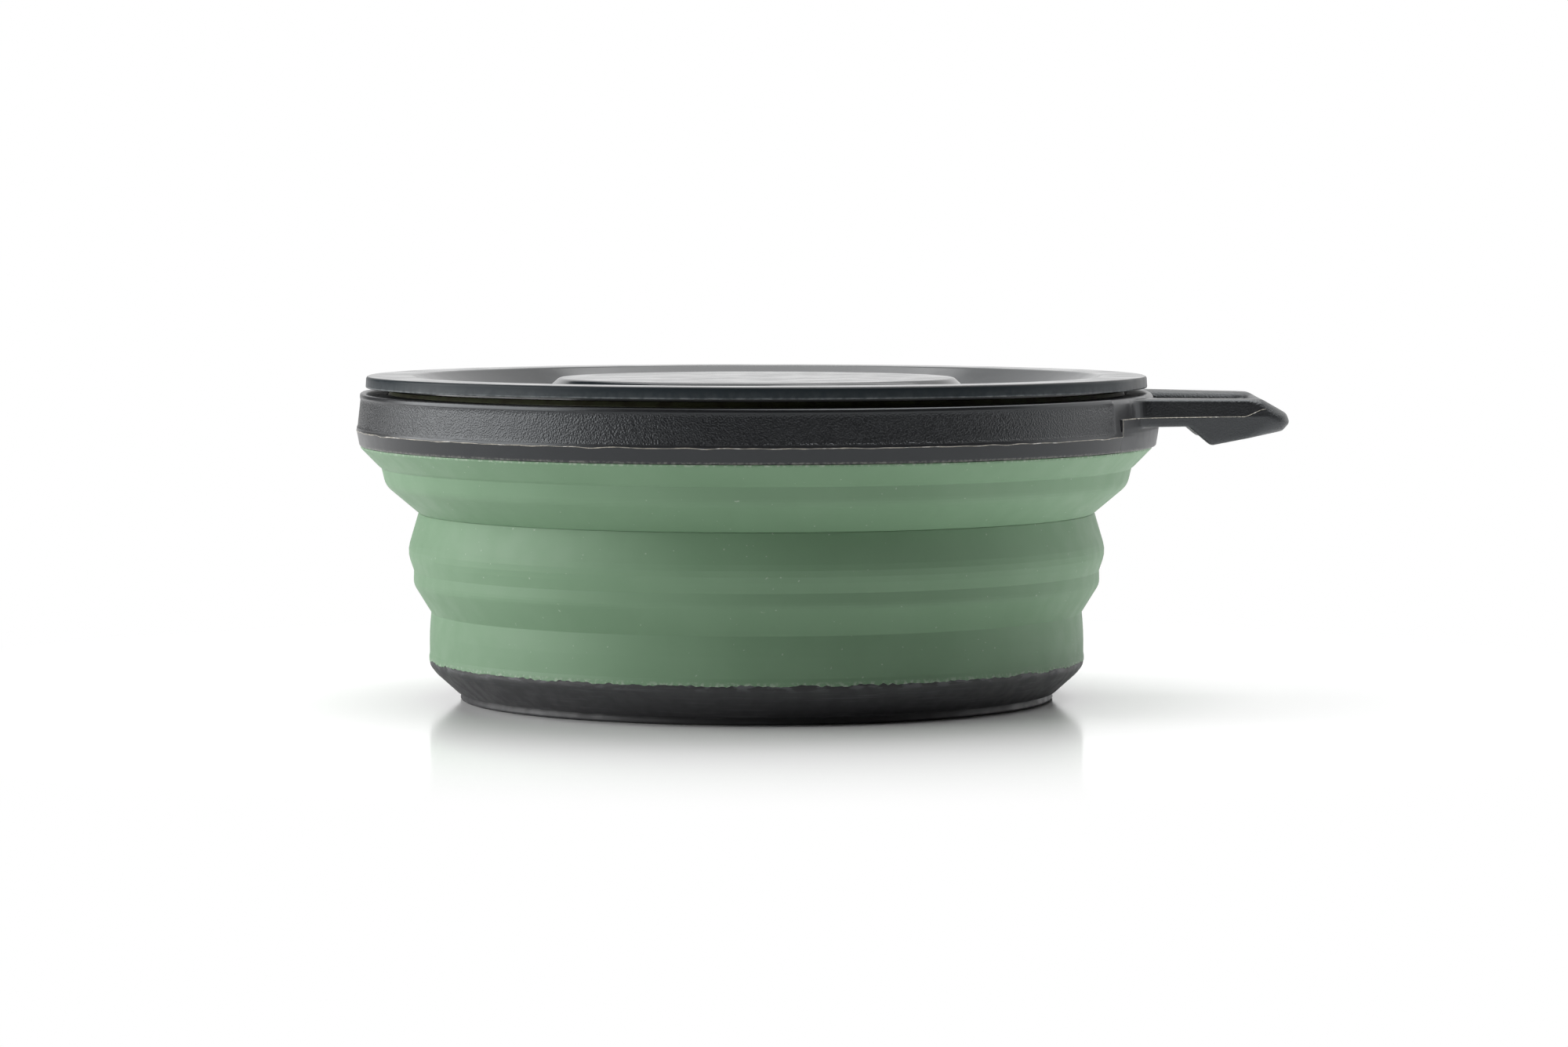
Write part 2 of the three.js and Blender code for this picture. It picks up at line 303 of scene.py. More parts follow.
def paint(
    piece: bpy.types.Object, label: str, rule: Callable[[Array, Array, Array], Array]
) -> None:
    """Writes a value at each vertex for the finish to read.

    Args:
        piece: The mesh object.
        label: The attribute's name.
        rule: Gives the values from the angles in degrees, radii and heights in millimetres.
    """
    mesh = piece.data
    flat = np.empty(len(mesh.vertices) * 3)
    mesh.vertices.foreach_get("co", flat)
    angle, radius, height = cylindrical(flat.reshape(-1, 3) / MM)
    values = rule(np.degrees(angle), radius, height)
    attribute = mesh.attributes.new(label, "FLOAT", "POINT")
    attribute.data.foreach_set("value", np.ascontiguousarray(values, dtype=np.float32))


def ramp(value: Array, start: float, end: float) -> Array:
    """Rises smoothly from 0 at start to 1 at end."""
    share = np.clip((value - start) / (end - start), 0, 1)
    return share * share * (3 - 2 * share)


class Nodes:
    """Adds nodes to the tree of a material or of the surround."""

    def __init__(self, tree: bpy.types.NodeTree) -> None:
        """Takes the tree to add to."""
        self.tree = tree

    def node(self, kind: str, *feeds: object, **settings: object) -> bpy.types.Node:
        """Adds a node.

        Args:
            kind: The node's type.
            feeds: A socket or a constant for each input in order, or None to leave it.
            settings: Properties of the node.

        Returns:
            The node.
        """
        node = self.tree.nodes.new(kind)
        for key, value in settings.items():
            setattr(node, key, value)
        for index, feed in enumerate(feeds):
            if isinstance(feed, Socket):
                self.tree.links.new(feed, node.inputs[index])
            elif feed is not None:
                node.inputs[index].default_value = feed
        return node

    def between(
        self, feed: Socket, low: float, high: float, start: float = 0.0, end: float = 1.0
    ) -> Socket:
        """Maps a stretch of a value to another, held at its ends.

        Args:
            feed: The value's socket.
            low: The value that gives the start.
            high: The value that gives the end.
            start: The result at low.
            end: The result at high.

        Returns:
            The mapped value's socket.
        """
        values = (feed, low, high, start, end)
        return self.node("ShaderNodeMapRange", *values, interpolation_type="SMOOTHSTEP").outputs[0]

    def math(self, operation: str, *feeds: object) -> Socket:
        """Joins values by one sum."""
        return self.node("ShaderNodeMath", *feeds, operation=operation).outputs[0]

    def seen(self) -> Socket:
        """Tells the rays that show what they meet from those that only light it.

        Returns:
            The socket, 1 for rays from the camera, reflections and clear pieces.
        """
        path = self.node("ShaderNodeLightPath").outputs
        clear = self.math("MAXIMUM", path["Is Glossy Ray"], path["Is Transmission Ray"])
        return self.math("MAXIMUM", path["Is Camera Ray"], clear)


class Finish(Nodes):
    """Builds a procedural material node by node."""

    def __init__(self, name: str, colour: Colour, roughness: float) -> None:
        """Starts a material.

        Args:
            name: The material's name.
            colour: The base colour, linear.
            roughness: The surface's roughness.
        """
        self.material = bpy.data.materials.new(name)
        self.material.use_nodes = True
        super().__init__(self.material.node_tree)
        self.shader = self.tree.nodes["Principled BSDF"]
        self.set(base_color=(*colour, 1.0), roughness=roughness)
        self.coordinates = self.tree.nodes.new("ShaderNodeTexCoord").outputs["Object"]

    def set(self, **values: float | tuple[float, ...]) -> None:
        """Sets the shader's sockets, named in lower case with underscores."""
        for key, value in values.items():
            socket = key.replace("_", " ").title().replace("Ior", "IOR")
            self.shader.inputs[socket].default_value = value

    def noise(self, size: float, detail: float = 2.0, stretch: Triple = (1, 1, 1)) -> Socket:
        """Makes noise in the piece's own coordinates.

        Args:
            size: The size of its features in millimetres.
            detail: How many finer layers it has.
            stretch: The scale of the coordinates along each axis.

        Returns:
            The noise value's socket.
        """
        spread = self.node("ShaderNodeMapping", self.coordinates, None, None, stretch)
        texture = self.node("ShaderNodeTexNoise", spread.outputs[0])
        texture.inputs["Scale"].default_value = 1 / (size * MM)
        texture.inputs["Detail"].default_value = detail
        return texture.outputs[0]

    def value(self, label: str) -> Socket:
        """Reads a value that was painted on the piece."""
        return self.node("ShaderNodeAttribute", attribute_name=label).outputs["Fac"]

    def tint(self, share: Socket, under: Socket | Colour, over: Colour) -> Socket:
        """Lays a colour over another.

        Args:
            share: The socket that says how much of the upper colour shows.
            under: The lower colour, or its socket.
            over: The upper colour, linear.

        Returns:
            The mixed colour's socket.
        """
        mix = self.node("ShaderNodeMix", data_type="RGBA")
        self.tree.links.new(share, mix.inputs[0])
        if isinstance(under, tuple):
            mix.inputs[6].default_value = (*under, 1.0)
        else:
            self.tree.links.new(under, mix.inputs[6])
        mix.inputs[7].default_value = (*over, 1.0)
        return mix.outputs[2]

    def bump(self, height: Socket, depth: float, strength: float = 1.0) -> None:
        """Raises the surface by a height, on top of any earlier bump.

        Args:
            height: The height's socket, from 0 to 1.
            depth: The depth in millimetres.
            strength: How much of it shows.
        """
        relief = self.node("ShaderNodeBump", strength, depth * MM)
        self.tree.links.new(height, relief.inputs["Height"])
        normal = self.shader.inputs["Normal"]
        if normal.is_linked:
            self.tree.links.new(normal.links[0].from_socket, relief.inputs["Normal"])
        self.tree.links.new(relief.outputs[0], normal)

    def link(self, feed: Socket, socket: str) -> None:
        """Feeds one of the shader's sockets."""
        self.tree.links.new(feed, self.shader.inputs[socket])


@dataclass(frozen=True)
class SiliconeFinish:
    """Satin sage silicone with a soft mottle, fine grain and specks of dust.

    The sizes of what marks it are in millimetres.
    """

    colour: Colour = (0.138, 0.232, 0.141)
    pale: Colour = (0.146, 0.242, 0.149)
    dust: Colour = (0.42, 0.46, 0.40)
    roughness: float = 0.5
    mottle_size: float = 14.0
    speck_size: float = 0.55
    tear_size: float = 0.7
    cloud_size: float = 4.0
    grain_size: float = 0.22
    wave_size: float = 3.2

    def material(self) -> bpy.types.Material:
        """Builds the material, whose edge value turns the moulding's flash pale.

        Returns:
            The material.
        """
        finish = Finish("sage_silicone", self.colour, self.roughness)
        finish.set(sheen_weight=0.03, sheen_roughness=0.5, specular_ior_level=0.28)
        mottle = finish.between(finish.noise(self.mottle_size, 3), 0.35, 0.68)
        colour = finish.tint(mottle, self.colour, self.pale)
        speck = finish.between(finish.noise(self.speck_size, 0), 0.83, 0.87, 0, 0.4)
        colour = finish.tint(speck, colour, self.dust)
        torn = finish.between(finish.noise(self.tear_size, 2), 0.45, 0.65, 0, 0.42)
        torn = finish.math("MULTIPLY", torn, finish.value("edge"))
        finish.link(finish.tint(torn, colour, self.dust), "Base Color")
        cloud = finish.between(finish.noise(self.cloud_size, 3), 0.3, 0.7, 0.5, 0.6)
        finish.link(cloud, "Roughness")
        finish.bump(finish.noise(self.grain_size, 2), 0.012, 0.35)
        finish.bump(finish.noise(self.wave_size, 1), 0.05, 0.06)
        return finish.material


@dataclass(frozen=True)
class BaseFinish:
    """Matt grey-black moulded plastic, scuffed along its turns."""

    colour: Colour = (0.0165, 0.0168, 0.0190)
    scuff: Colour = (0.075, 0.077, 0.083)
    roughness: float = 0.55
    streak_size: float = 0.5
    streak_stretch: Triple = (0.06, 0.06, 1.4)
    scuff_size: float = 1.1
    scuff_stretch: Triple = (0.3, 0.3, 1)
    cloud_size: float = 2.5
    grain_size: float = 0.3

    def material(self) -> bpy.types.Material:
        """Builds the material, whose edge value gathers the scuffs at the joint.

        Returns:
            The material.
        """
        finish = Finish("base_matt_plastic", self.colour, self.roughness)
        streak = finish.noise(self.streak_size, 3, self.streak_stretch)
        streak = finish.between(streak, 0.54, 0.74, 0, 0.35)
        colour = finish.tint(streak, self.colour, self.scuff)
        scuff = finish.between(finish.noise(self.scuff_size, 3, self.scuff_stretch), 0.5, 0.62)
        scuff = finish.math("MULTIPLY", scuff, finish.value("edge"))
        finish.link(finish.tint(scuff, colour, self.scuff), "Base Color")
        cloud = finish.between(finish.noise(self.cloud_size, 2), 0.3, 0.7, 0.48, 0.62)
        finish.link(cloud, "Roughness")
        finish.bump(finish.noise(self.grain_size, 2), 0.02, 0.5)
        return finish.material


@dataclass(frozen=True)
class RimFinish:
    """Moulded nylon, grained on the panel and smoother elsewhere, with a pale tear at the foot, and
    a painted lighter tone on the tab and handle that stands in for the bright floor's reflection.
    """

    colour: Colour = (0.0105, 0.0106, 0.0120)
    # Painted reflection: a lighter tone for the tab and handle that stands in for the bright floor
    # seen in them.
    dull_and_painted_light: Colour = (0.027, 0.028, 0.030)
    tear: Colour = (0.17, 0.17, 0.15)
    cool: Colour = (0.92, 0.97, 1.0)
    roughness: float = 0.32
    tear_size: float = 0.6
    cloud_size: float = 2.0
    cell_size: float = 0.27
    grain_size: float = 0.25

    def material(self) -> bpy.types.Material:
        """Builds the material, whose painted values say where the grain, the tear and the duller
        finish show; the duller finish is also tinted lighter as a painted reflection.

        Returns:
            The material.
        """
        finish = Finish("rim_grained_plastic", self.colour, self.roughness)
        finish.set(specular_ior_level=0.52, specular_tint=(*self.cool, 1.0))
        torn = finish.between(finish.noise(self.tear_size, 3), 0.34, 0.7, 0, 0.6)
        torn = finish.math("MULTIPLY", torn, finish.value("edge"))
        # Painted reflection: where this value rises, the colour turns lighter to stand in for the
        # floor's reflection, and the surface turns a little rougher.
        dull_and_painted_light = finish.value("dull_and_painted_light")
        colour = finish.tint(dull_and_painted_light, self.colour, self.dull_and_painted_light)
        finish.link(finish.tint(torn, colour, self.tear), "Base Color")
        grain = finish.value("grain")
        coarse = finish.between(grain, 0, 1, 0.30, 0.36)
        rough = finish.math("ADD", coarse, finish.between(dull_and_painted_light, 0, 1, 0, 0.1))
        cloud = finish.between(finish.noise(self.cloud_size, 2), 0.3, 0.7, -0.02, 0.02)
        finish.link(finish.math("ADD", rough, cloud), "Roughness")
        cells = finish.node("ShaderNodeTexVoronoi", finish.coordinates, feature="SMOOTH_F1")
        cells.inputs["Scale"].default_value = 1 / (self.cell_size * MM)
        finish.bump(finish.math("MULTIPLY", cells.outputs["Distance"], grain), 0.11, 1.0)
        finish.bump(finish.noise(self.grain_size, 2), 0.012, 0.5)
        return finish.material


@dataclass(frozen=True)
class FlashFinish:
    """The parting line's thin torn flash: whitish and tan, broken by bare plastic."""

    plastic: Colour = (0.26, 0.245, 0.215)
    tan: Colour = (0.45, 0.415, 0.35)
    white: Colour = (0.66, 0.64, 0.60)
    roughness: float = 0.6
    tan_size: float = 3.5
    white_size: float = 1.7

    def material(self) -> bpy.types.Material:
        """Builds the material.

        Returns:
            The material.
        """
        finish = Finish("parting_flash", self.tan, self.roughness)
        share = finish.between(finish.noise(self.tan_size, 3), 0.40, 0.62)
        colour = finish.tint(share, self.plastic, self.tan)
        share = finish.between(finish.noise(self.white_size, 2), 0.55, 0.7)
        finish.link(finish.tint(share, colour, self.white), "Base Color")
        return finish.material


@dataclass(frozen=True)
class LidFinish:
    """Polished slate plastic with faint rubbing marks and a pale line under the flange."""

    colour: Colour = (0.018, 0.0235, 0.0275)
    pale: Colour = (0.17, 0.185, 0.19)
    roughness: float = 0.2
    tear_size: float = 1.2
    rub_size: float = 6.0
    wave_size: float = 5.0

    def material(self) -> bpy.types.Material:
        """Builds the material, whose edge value marks the flange's moulded edge.

        Returns:
            The material.
        """
        finish = Finish("lid_slate_gloss", self.colour, self.roughness)
        side = finish.value("side")
        finish.link(finish.between(side, 0, 1, 0.36, 0.1), "Specular IOR Level")
        torn = finish.between(finish.noise(self.tear_size, 3), 0.3, 0.7, 0.25, 0.7)
        torn = finish.math("MULTIPLY", torn, finish.value("edge"))
        finish.link(finish.tint(torn, self.colour, self.pale), "Base Color")
        rubbed = finish.between(finish.noise(self.rub_size, 4), 0.3, 0.7, 0.12, 0.2)
        rough = finish.math("ADD", rubbed, finish.between(side, 0, 1, 0, 0.2))
        finish.link(rough, "Roughness")
        finish.bump(finish.noise(self.wave_size, 1), 0.05, 0.06)
        return finish.material


@dataclass(frozen=True)
class GasketFinish:
    """Olive silicone, darker where it is wiped."""

    colour: Colour = (0.070, 0.078, 0.036)
    worn: Colour = (0.050, 0.045, 0.024)
    roughness: float = 0.45
    wear_size: float = 3.0
    grain_size: float = 0.4

    def material(self) -> bpy.types.Material:
        """Builds the material.

        Returns:
            The material.
        """
        finish = Finish("gasket_olive_silicone", self.colour, self.roughness)
        wear = finish.between(finish.noise(self.wear_size, 3), 0.4, 0.65)
        finish.link(finish.tint(wear, self.colour, self.worn), "Base Color")
        finish.bump(finish.noise(self.grain_size, 2), 0.02, 0.3)
        return finish.material


def dress(
    piece: bpy.types.Object, material: bpy.types.Material, nodes: Sequence[str] = ()
) -> None:
    """Gives a piece its finish, hides the CAD nodes that it stands for and logs its faces.

    Args:
        piece: The mesh object.
        material: Its finish.
        nodes: The CAD nodes that the piece stands for.
    """
    piece.data.materials.append(material)
    if nodes:
        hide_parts(*nodes)
    LOG.info("%s: %d faces", piece.name, len(piece.data.polygons))


@dataclass
class BaseShell:
    """The rigid tray that the bowl stands on."""

    foot_inset: float = 5.4
    foot_height: float = 1.5
    foot_width: float = 6.0
    foot_step: float = 0.5
    foot_groove: float = 0.45
    foot_groove_rise: float = 0.15
    flare_inset: float = 1.1
    flare_drop: float = 2.6
    recess: float = 0.8
    pad_radius: float = 15.0
    joint: float = 7.5
    land: float = 1.2
    floor: float = 3.2
    upstand_radius: float = 56.65
    upstand_wall: float = 1.8
    edge_rounding: float = 0.3
    scuff_start: float = 1.6
    scuff_end: float = 0.2
    longest_edge: float = 4.0
    segments: int = 480

    def build(self) -> bpy.types.Object:
        """Builds and dresses the tray.

        Returns:
            The tray's object.
        """
        span = Span.of("base_tray")
        foot = span.radius - self.foot_inset
        inner = foot - self.foot_width
        bore = self.upstand_radius - self.upstand_wall
        soft = self.edge_rounding
        corners = [
            Corner(0, span.bottom),
            Corner(self.pad_radius, span.bottom, soft),
            Corner(self.pad_radius, self.recess, soft),
            Corner(inner, self.recess, soft),
            Corner(inner, span.bottom, soft),
            Corner(foot, span.bottom, 0.4),
            Corner(foot - self.foot_groove, self.foot_height + self.foot_groove_rise, soft),
            Corner(foot + self.foot_step, self.foot_height, 0.06),
            Corner(span.radius - self.flare_inset, self.joint - self.flare_drop, 3.0),
            Corner(span.radius, self.joint - self.land, 2.0),
            Corner(span.radius, self.joint, 0.15),
            Corner(self.upstand_radius, self.joint),
            Corner(self.upstand_radius, span.top, soft),
            Corner(bore, span.top, 0.8),
            Corner(bore, self.floor, 2.0),
            Corner(0, self.floor),
        ]
        outline = refined(rounded(corners, False), self.longest_edge, False)
        piece = turned("base_shell", outline, self.segments)
        start, end = self.joint - self.scuff_start, self.joint - self.scuff_end

        def edge(turn: Array, radius: Array, height: Array) -> Array:
            """Marks the outside below the joint."""
            return ramp(height, start, end) * (radius > self.upstand_radius + 0.5)

        paint(piece, "edge", edge)
        dress(piece, BaseFinish().material(), ["base_tray"])
        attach(piece, Body.BASE.value)
        return piece


@dataclass
class BellowsWall:
    """The folding silicone wall, in two pieces that meet in the upper valley."""

    fold_wall: float = 1.5
    band_wall: float = 2.1
    band_taper: float = 3.6
    lower_shoulder_rise: float = 5.1
    lower_shoulder_lean: float = 0.1
    bulge_rise: float = 3.4
    upper_shoulder_rise: float = 4.95
    upper_shoulder_lean: float = 1.05
    crease_depth: float = 0.3
    upper_crease: float = 60.8
    top_radius: float = 71.15
    rim_gap: float = 0.15
    bead_radius: float = 69.25
    bead_inner_radius: float = 68.05
    bead_seat: float = 47.1
    seat_radius: float = 66.6
    lap: float = 0.42
    lap_proud: float = 0.12
    lap_gap: float = 0.02
    ragged: float = 0.13
    fine_tear: float = 0.6
    broad_tear: float = 0.7
    tear_limits: tuple[float, float] = (-1.6, 2.0)
    longest_edge: float = 3.0
    longest_upper_edge: float = 1.6
    crease: float = 30.0
    segments: int = 840
    upper_segments: int = 600

    @property
    def seam(self) -> float:
        """The height at which the outside of the wall meets the rim."""
        return Span.of("rim_frame").bottom - self.rim_gap

    def lower_outline(self) -> Outline:
        """Draws the wall from the base's edge to the upper valley.

        Returns:
            The closed outline, from the inner foot round by the outside.
        """
        parts = ("lower_band", "lower_fold", "middle_band")
        band, fold, middle = (Span.of(f"wall_{part}") for part in parts)
        inner = band.radius - self.band_wall
        crease = band.radius - self.crease_depth
        step = fold.radius
        shoulder = step - self.lower_shoulder_lean
        shoulder_up = fold.bottom + self.lower_shoulder_rise
        bulge_up = middle.bottom + self.bulge_rise
        taper_up = band.top - self.band_taper
        lap = band.radius + self.lap_proud
        corners = [
            Corner(inner, band.bottom),
            Corner(band.radius + self.lap_gap, band.bottom),
            Corner(band.radius + self.lap_gap, band.bottom - self.lap),
            Corner(lap, band.bottom - self.lap, 0.05),
            Corner(lap - self.lap_gap, band.bottom + 0.25, 0.2),
            Corner(band.radius, band.bottom + 0.8, 0.5),
            Corner(band.radius, taper_up, 40.0),
            Corner(crease, band.top, 0.22),
            Corner(shoulder + 0.05, shoulder_up, 2.6),
            Corner(step - 0.12, middle.bottom, 0.12),
            Corner(middle.radius + 0.25, bulge_up, 5.2),
            Corner(self.upper_crease, middle.top, 0.2),
            Corner(self.upper_crease - self.fold_wall, middle.top),
            Corner(middle.radius - self.band_wall, bulge_up, 2.0),
            Corner(step - self.fold_wall, middle.bottom, 0.4),
            Corner(shoulder - self.fold_wall, shoulder_up, 1.6),
            Corner(crease - self.fold_wall, band.top, 0.5),
            Corner(inner, taper_up, 2.0),
        ]
        return refined(rounded(corners, True, 14), self.longest_edge, True)

    def upper_outline(self) -> Outline:
        """Draws the wall from the upper valley to the bead inside the rim.

        Returns:
            The closed outline, from the valley round by the outside.
        """
        fold, band = (Span.of(f"wall_{part}") for part in ("upper_fold", "upper_band"))
        step = fold.radius
        shoulder = step - self.upper_shoulder_lean
        shoulder_up = fold.bottom + self.upper_shoulder_rise
        top = self.seam + 0.1
        corners = [
            Corner(self.upper_crease - self.fold_wall, fold.bottom),
            Corner(self.upper_crease, fold.bottom, 0.1),
            Corner(shoulder + 0.15, shoulder_up, 3.4),
            Corner(step - 0.15, band.bottom, 0.12),
            Corner(step + 0.35, band.bottom + 0.35, 0.3),
            Corner(self.top_radius, self.seam - 0.25, 0.6),
            Corner(self.top_radius, top, 0.08),
            Corner(self.bead_radius, top),
            Corner(self.bead_radius, band.top, 0.2),
            Corner(self.bead_inner_radius, band.top, 0.2),
            Corner(self.bead_inner_radius, self.bead_seat),
            Corner(self.seat_radius, self.bead_seat, 0.15),
            Corner(step - self.fold_wall, band.bottom, 0.6),
            Corner(shoulder - self.fold_wall, shoulder_up, 1.6),
        ]
        return refined(rounded(corners, True, 12), self.longest_upper_edge, True)

    def build(self) -> list[bpy.types.Object]:
        """Builds and dresses both pieces of the wall.

        Returns:
            The lower piece and the upper piece.
        """
        material = SiliconeFinish().material()
        foot = Span.of("wall_lower_band").bottom
        fold, upper_fold = Span.of("wall_lower_fold"), Span.of("wall_upper_fold")

        def tear(angle: Array, radius: Array, height: Array) -> tuple[Array, Array]:
            """Wavers the lap over the base like torn flash.

            Args:
                angle: The angles of the points in radians.
                radius: Their radii in millimetres.
                height: Their heights in millimetres.

            Returns:
                The radii and the new heights.
            """
            fine, broad = ripple(angle, 3, 60, 260, 16), ripple(angle, 8, 8, 50, 8)
            wave = self.fine_tear * fine + self.broad_tear * broad
            share = 1 - ramp(height, foot - 0.3, foot + 0.1)
            share = share * ((radius > fold.radius - 3.0) & (height < foot + 0.1))
            return radius, height + np.clip(wave, *self.tear_limits) * self.ragged * share

        def lap_edge(turn: Array, radius: Array, height: Array) -> Array:
            """Marks the torn lap."""
            return 1 - ramp(height, foot - 0.1, foot + 0.35)

        def seam_edge(turn: Array, radius: Array, height: Array) -> Array:
            """Marks the seam under the rim."""
            return ramp(height, self.seam - 0.4, self.seam - 0.1) * (radius > fold.radius)

        lower = turned("wall_lower", self.lower_outline(), self.segments, tear, self.crease)
        paint(lower, "edge", lap_edge)
        nodes = ["wall_lower_band", "wall_lower_fold", "wall_middle_band"]
        dress(lower, material, nodes)
        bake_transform(lower)
        upper = turned("wall_upper", self.upper_outline(), self.upper_segments, None, self.crease)
        paint(upper, "edge", seam_edge)
        dress(upper, material, ["wall_upper_fold", "wall_upper_band"])
        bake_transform(upper)
        return [lower, upper]


def outline_distance(across: Array, up: Array, outline: Outline) -> Array:
    """Measures the signed distance to a closed outline.

    Args:
        across: The first coordinate of the points.
        up: Their second coordinate.
        outline: The corners of the outline.

    Returns:
        The distances, negative inside.
    """
    best = np.full(np.broadcast(across, up).shape, np.inf)
    inside = np.zeros(best.shape, dtype=bool)
    for (x0, y0), (x1, y1) in zip(outline, outline[1:] + outline[:1]):
        ex, ey = x1 - x0, y1 - y0
        wx, wy = across - x0, up - y0
        share = np.clip((wx * ex + wy * ey) / max(ex * ex + ey * ey, NOTHING), 0, 1)
        best = np.minimum(best, (wx - ex * share) ** 2 + (wy - ey * share) ** 2)
        crosses = (y0 > up) != (y1 > up)
        if abs(ey) > NOTHING:
            inside ^= crosses & (across < ex * (up - y0) / ey + x0)
    return np.where(inside, -np.sqrt(best), np.sqrt(best))


def soft_join(one: Array, other: Array, radius: float | Array) -> Array:
    """Joins two solids with a small fillet."""
    near = np.clip(radius - np.abs(one - other), 0, None)
    return np.minimum(one, other) - near * near / (4 * radius)


def soft_keep(one: Array, other: Array, radius: float | Array) -> Array:
    """Keeps what two solids share, with a rounded edge."""
    return -soft_join(-one, -other, radius)


@dataclass
class RimFrame:
    """The ring round the top with its looped handle, one moulding, and the flash on its joint."""

    parting: float = 48.5
    parting_radius: float = 71.88
    strip_top: float = 48.95
    panel_step: float = 0.45
    panel_top: float = 54.4
    panel_inset: float = 0.12
    panel_rounding: float = 0.08
    panel_end: tuple[float, float] = (28.9, 29.5)
    top_radius: float = 71.2
    top_rounding: float = 1.0
    inner_radius: float = 66.6
    leg_foot: float = 47.25
    leg_radius: float = 67.9
    channel_radius: float = 69.4
    channel_top: float = 51.75
    foot: float = 45.75
    foot_radius: float = 71.35
    foot_rounding: float = 0.25

    tab_angle: float = 26.95
    tab_top: float = 51.5
    tab_radius: float = 71.9
    tab_draft: float = 0.08
    tab_swell: float = 0.45
    tab_swell_angle: float = 12.0
    tab_fillet: float = 0.12
    slit_angle: float = 27.15
    slit_width: float = 0.3
    slit_middle: float = 50.5
    slit_half: float = 1.04
    slit_floor: float = 71.0

    handle_parting: float = 51.5
    handle_top: float = 54.75
    handle_bottom: float = 49.8
    handle_core: float = 60.0
    handle_fillet: float = 0.25
    handle_reach_angle: float = 34.0
    hook_start: float = 76.3
    hook_rounding: float = 1.2
    hook_foot: Corner = Corner(80.4, 46.35, 1.3)
    # The corners of the tip from below, measured across from the end of the handle.
    nose: tuple[Corner, ...] = (
        Corner(-1.3, 48.75, 0.8),
        Corner(0.4, 50.15, 0.9),
        Corner(-0.55, 51.85, 1.2),
    )
    brow: float = 5.2
    brow_drop: float = 0.25
    brow_rounding: float = 2.2
    nose_ramp: tuple[float, float] = (86.5, 92.0)
    nose_rounding: float = 2.2
    crown: float = 0.12
    edge_rounding: float = 0.7
    flank: Corner = Corner(82.0, 19.95, 60.0)
    side_slope: float = 18.8
    tip_over: float = 1.6
    tip_half: float = 18.0
    tip_corner: float = 6.0
    slot_end: float = 88.6
    slot_start_half: float = 17.5
    slot_flank: Corner = Corner(74.0, 14.9, 20)
    slot_end_half: float = 11.8
    slot_corner: float = 3.0
    slot_rounding: float = 2.4
    slot_draft: float = 0.4
    lower_draft: float = 0.15
    root_angle: float = 23.0
    root_fillet: float = 7.0
    root_radius: float = 70.2

    grain_ends: tuple[float, float] = (29.1, 29.5)
    grain_top: tuple[float, float] = (54.0, 54.3)
    grain_radius: float = 71.0
    handle_grain: float = 0.45
    handle_radius: float = 73.0
    torn_foot: tuple[float, float] = (45.95, 46.25)
    # Painted reflection: how much lighter the handle's upper half is tinted, and the radii over
    # which the tint comes in.
    handle_dull_and_painted_light: float = 0.4
    dull_and_painted_light_ramp: tuple[float, float] = (72.5, 75.0)

    flash_inset: float = 0.004
    flash_drop: float = 0.04
    flash_waver: float = 0.05
    flash_half: float = 0.12
    flash_least: float = 0.03
    flash_most: float = 0.08
    flash_sunk: float = 0.06
    flash_probe: float = 0.02
    # The parting line along the handle's side, from above, before it settles on the surface.
    flash_across: tuple[float, ...] = (67.0, 69, 73.5, 82, 92)
    flash_aside: tuple[float, ...] = (27.4, 25, 22.8, 19.9, 18.2)
    flash_end: float = 90.2
    flash_lift: float = 1.3
    flash_lift_start: float = 86.0

    far: float = 20.0
    probe: float = 0.01
    least_slope: float = 0.25
    longest_step: float = 0.2
    crease: float = 40.0
    flash_crease: float = 60.0
    # Each run of the grid has a start, an end and a step, in degrees or millimetres. No line of
    # the grid lies on a flat surface of the moulding, because that leaves holes in the skin.
    angle_runs: tuple[Triple, ...] = (
        (-180, -32, 2),
        (-32, -30, 0.4),
        (-30, -26.4, 0.12),
        (-26.4, 26.4, 0.4),
        (26.4, 30, 0.12),
        (30, 32, 0.4),
        (32, 178, 2),
    )
    radius_runs: tuple[Triple, ...] = (
        (66.2, 69.8, 0.3),
        (69.8, 70.4, 0.2),
        (70.4, 70.5, 0.1),
        (70.5, 72.7, 0.11),
        (72.7, 97.5, 0.4),
    )
    height_runs: tuple[Triple, ...] = (
        (45.6, 46.5, 0.1125),
        (46.5, 48.1, 0.4),
        (48.1, 50.1, 0.125),
        (50.1, 51.3, 0.3),
        (51.3, 51.8, 0.125),
        (51.8, 53.9, 0.35),
        (53.9, 55.4, 0.15),
    )

    @cached_property
    def lean(self) -> float:
        """How far the ring's outside leans in for each millimetre above the parting line."""
        return (self.parting_radius - self.top_radius) / (Span.of("rim_frame").top - self.parting)

    @property
    def panel_foot(self) -> float:
        """The height at which the recessed panel starts."""
        return self.strip_top + self.panel_step

    def outside(self, height: float) -> float:
        """Finds the radius of the ring's drafted outside at a height above the parting line."""
        return self.parting_radius - self.lean * (height - self.parting)

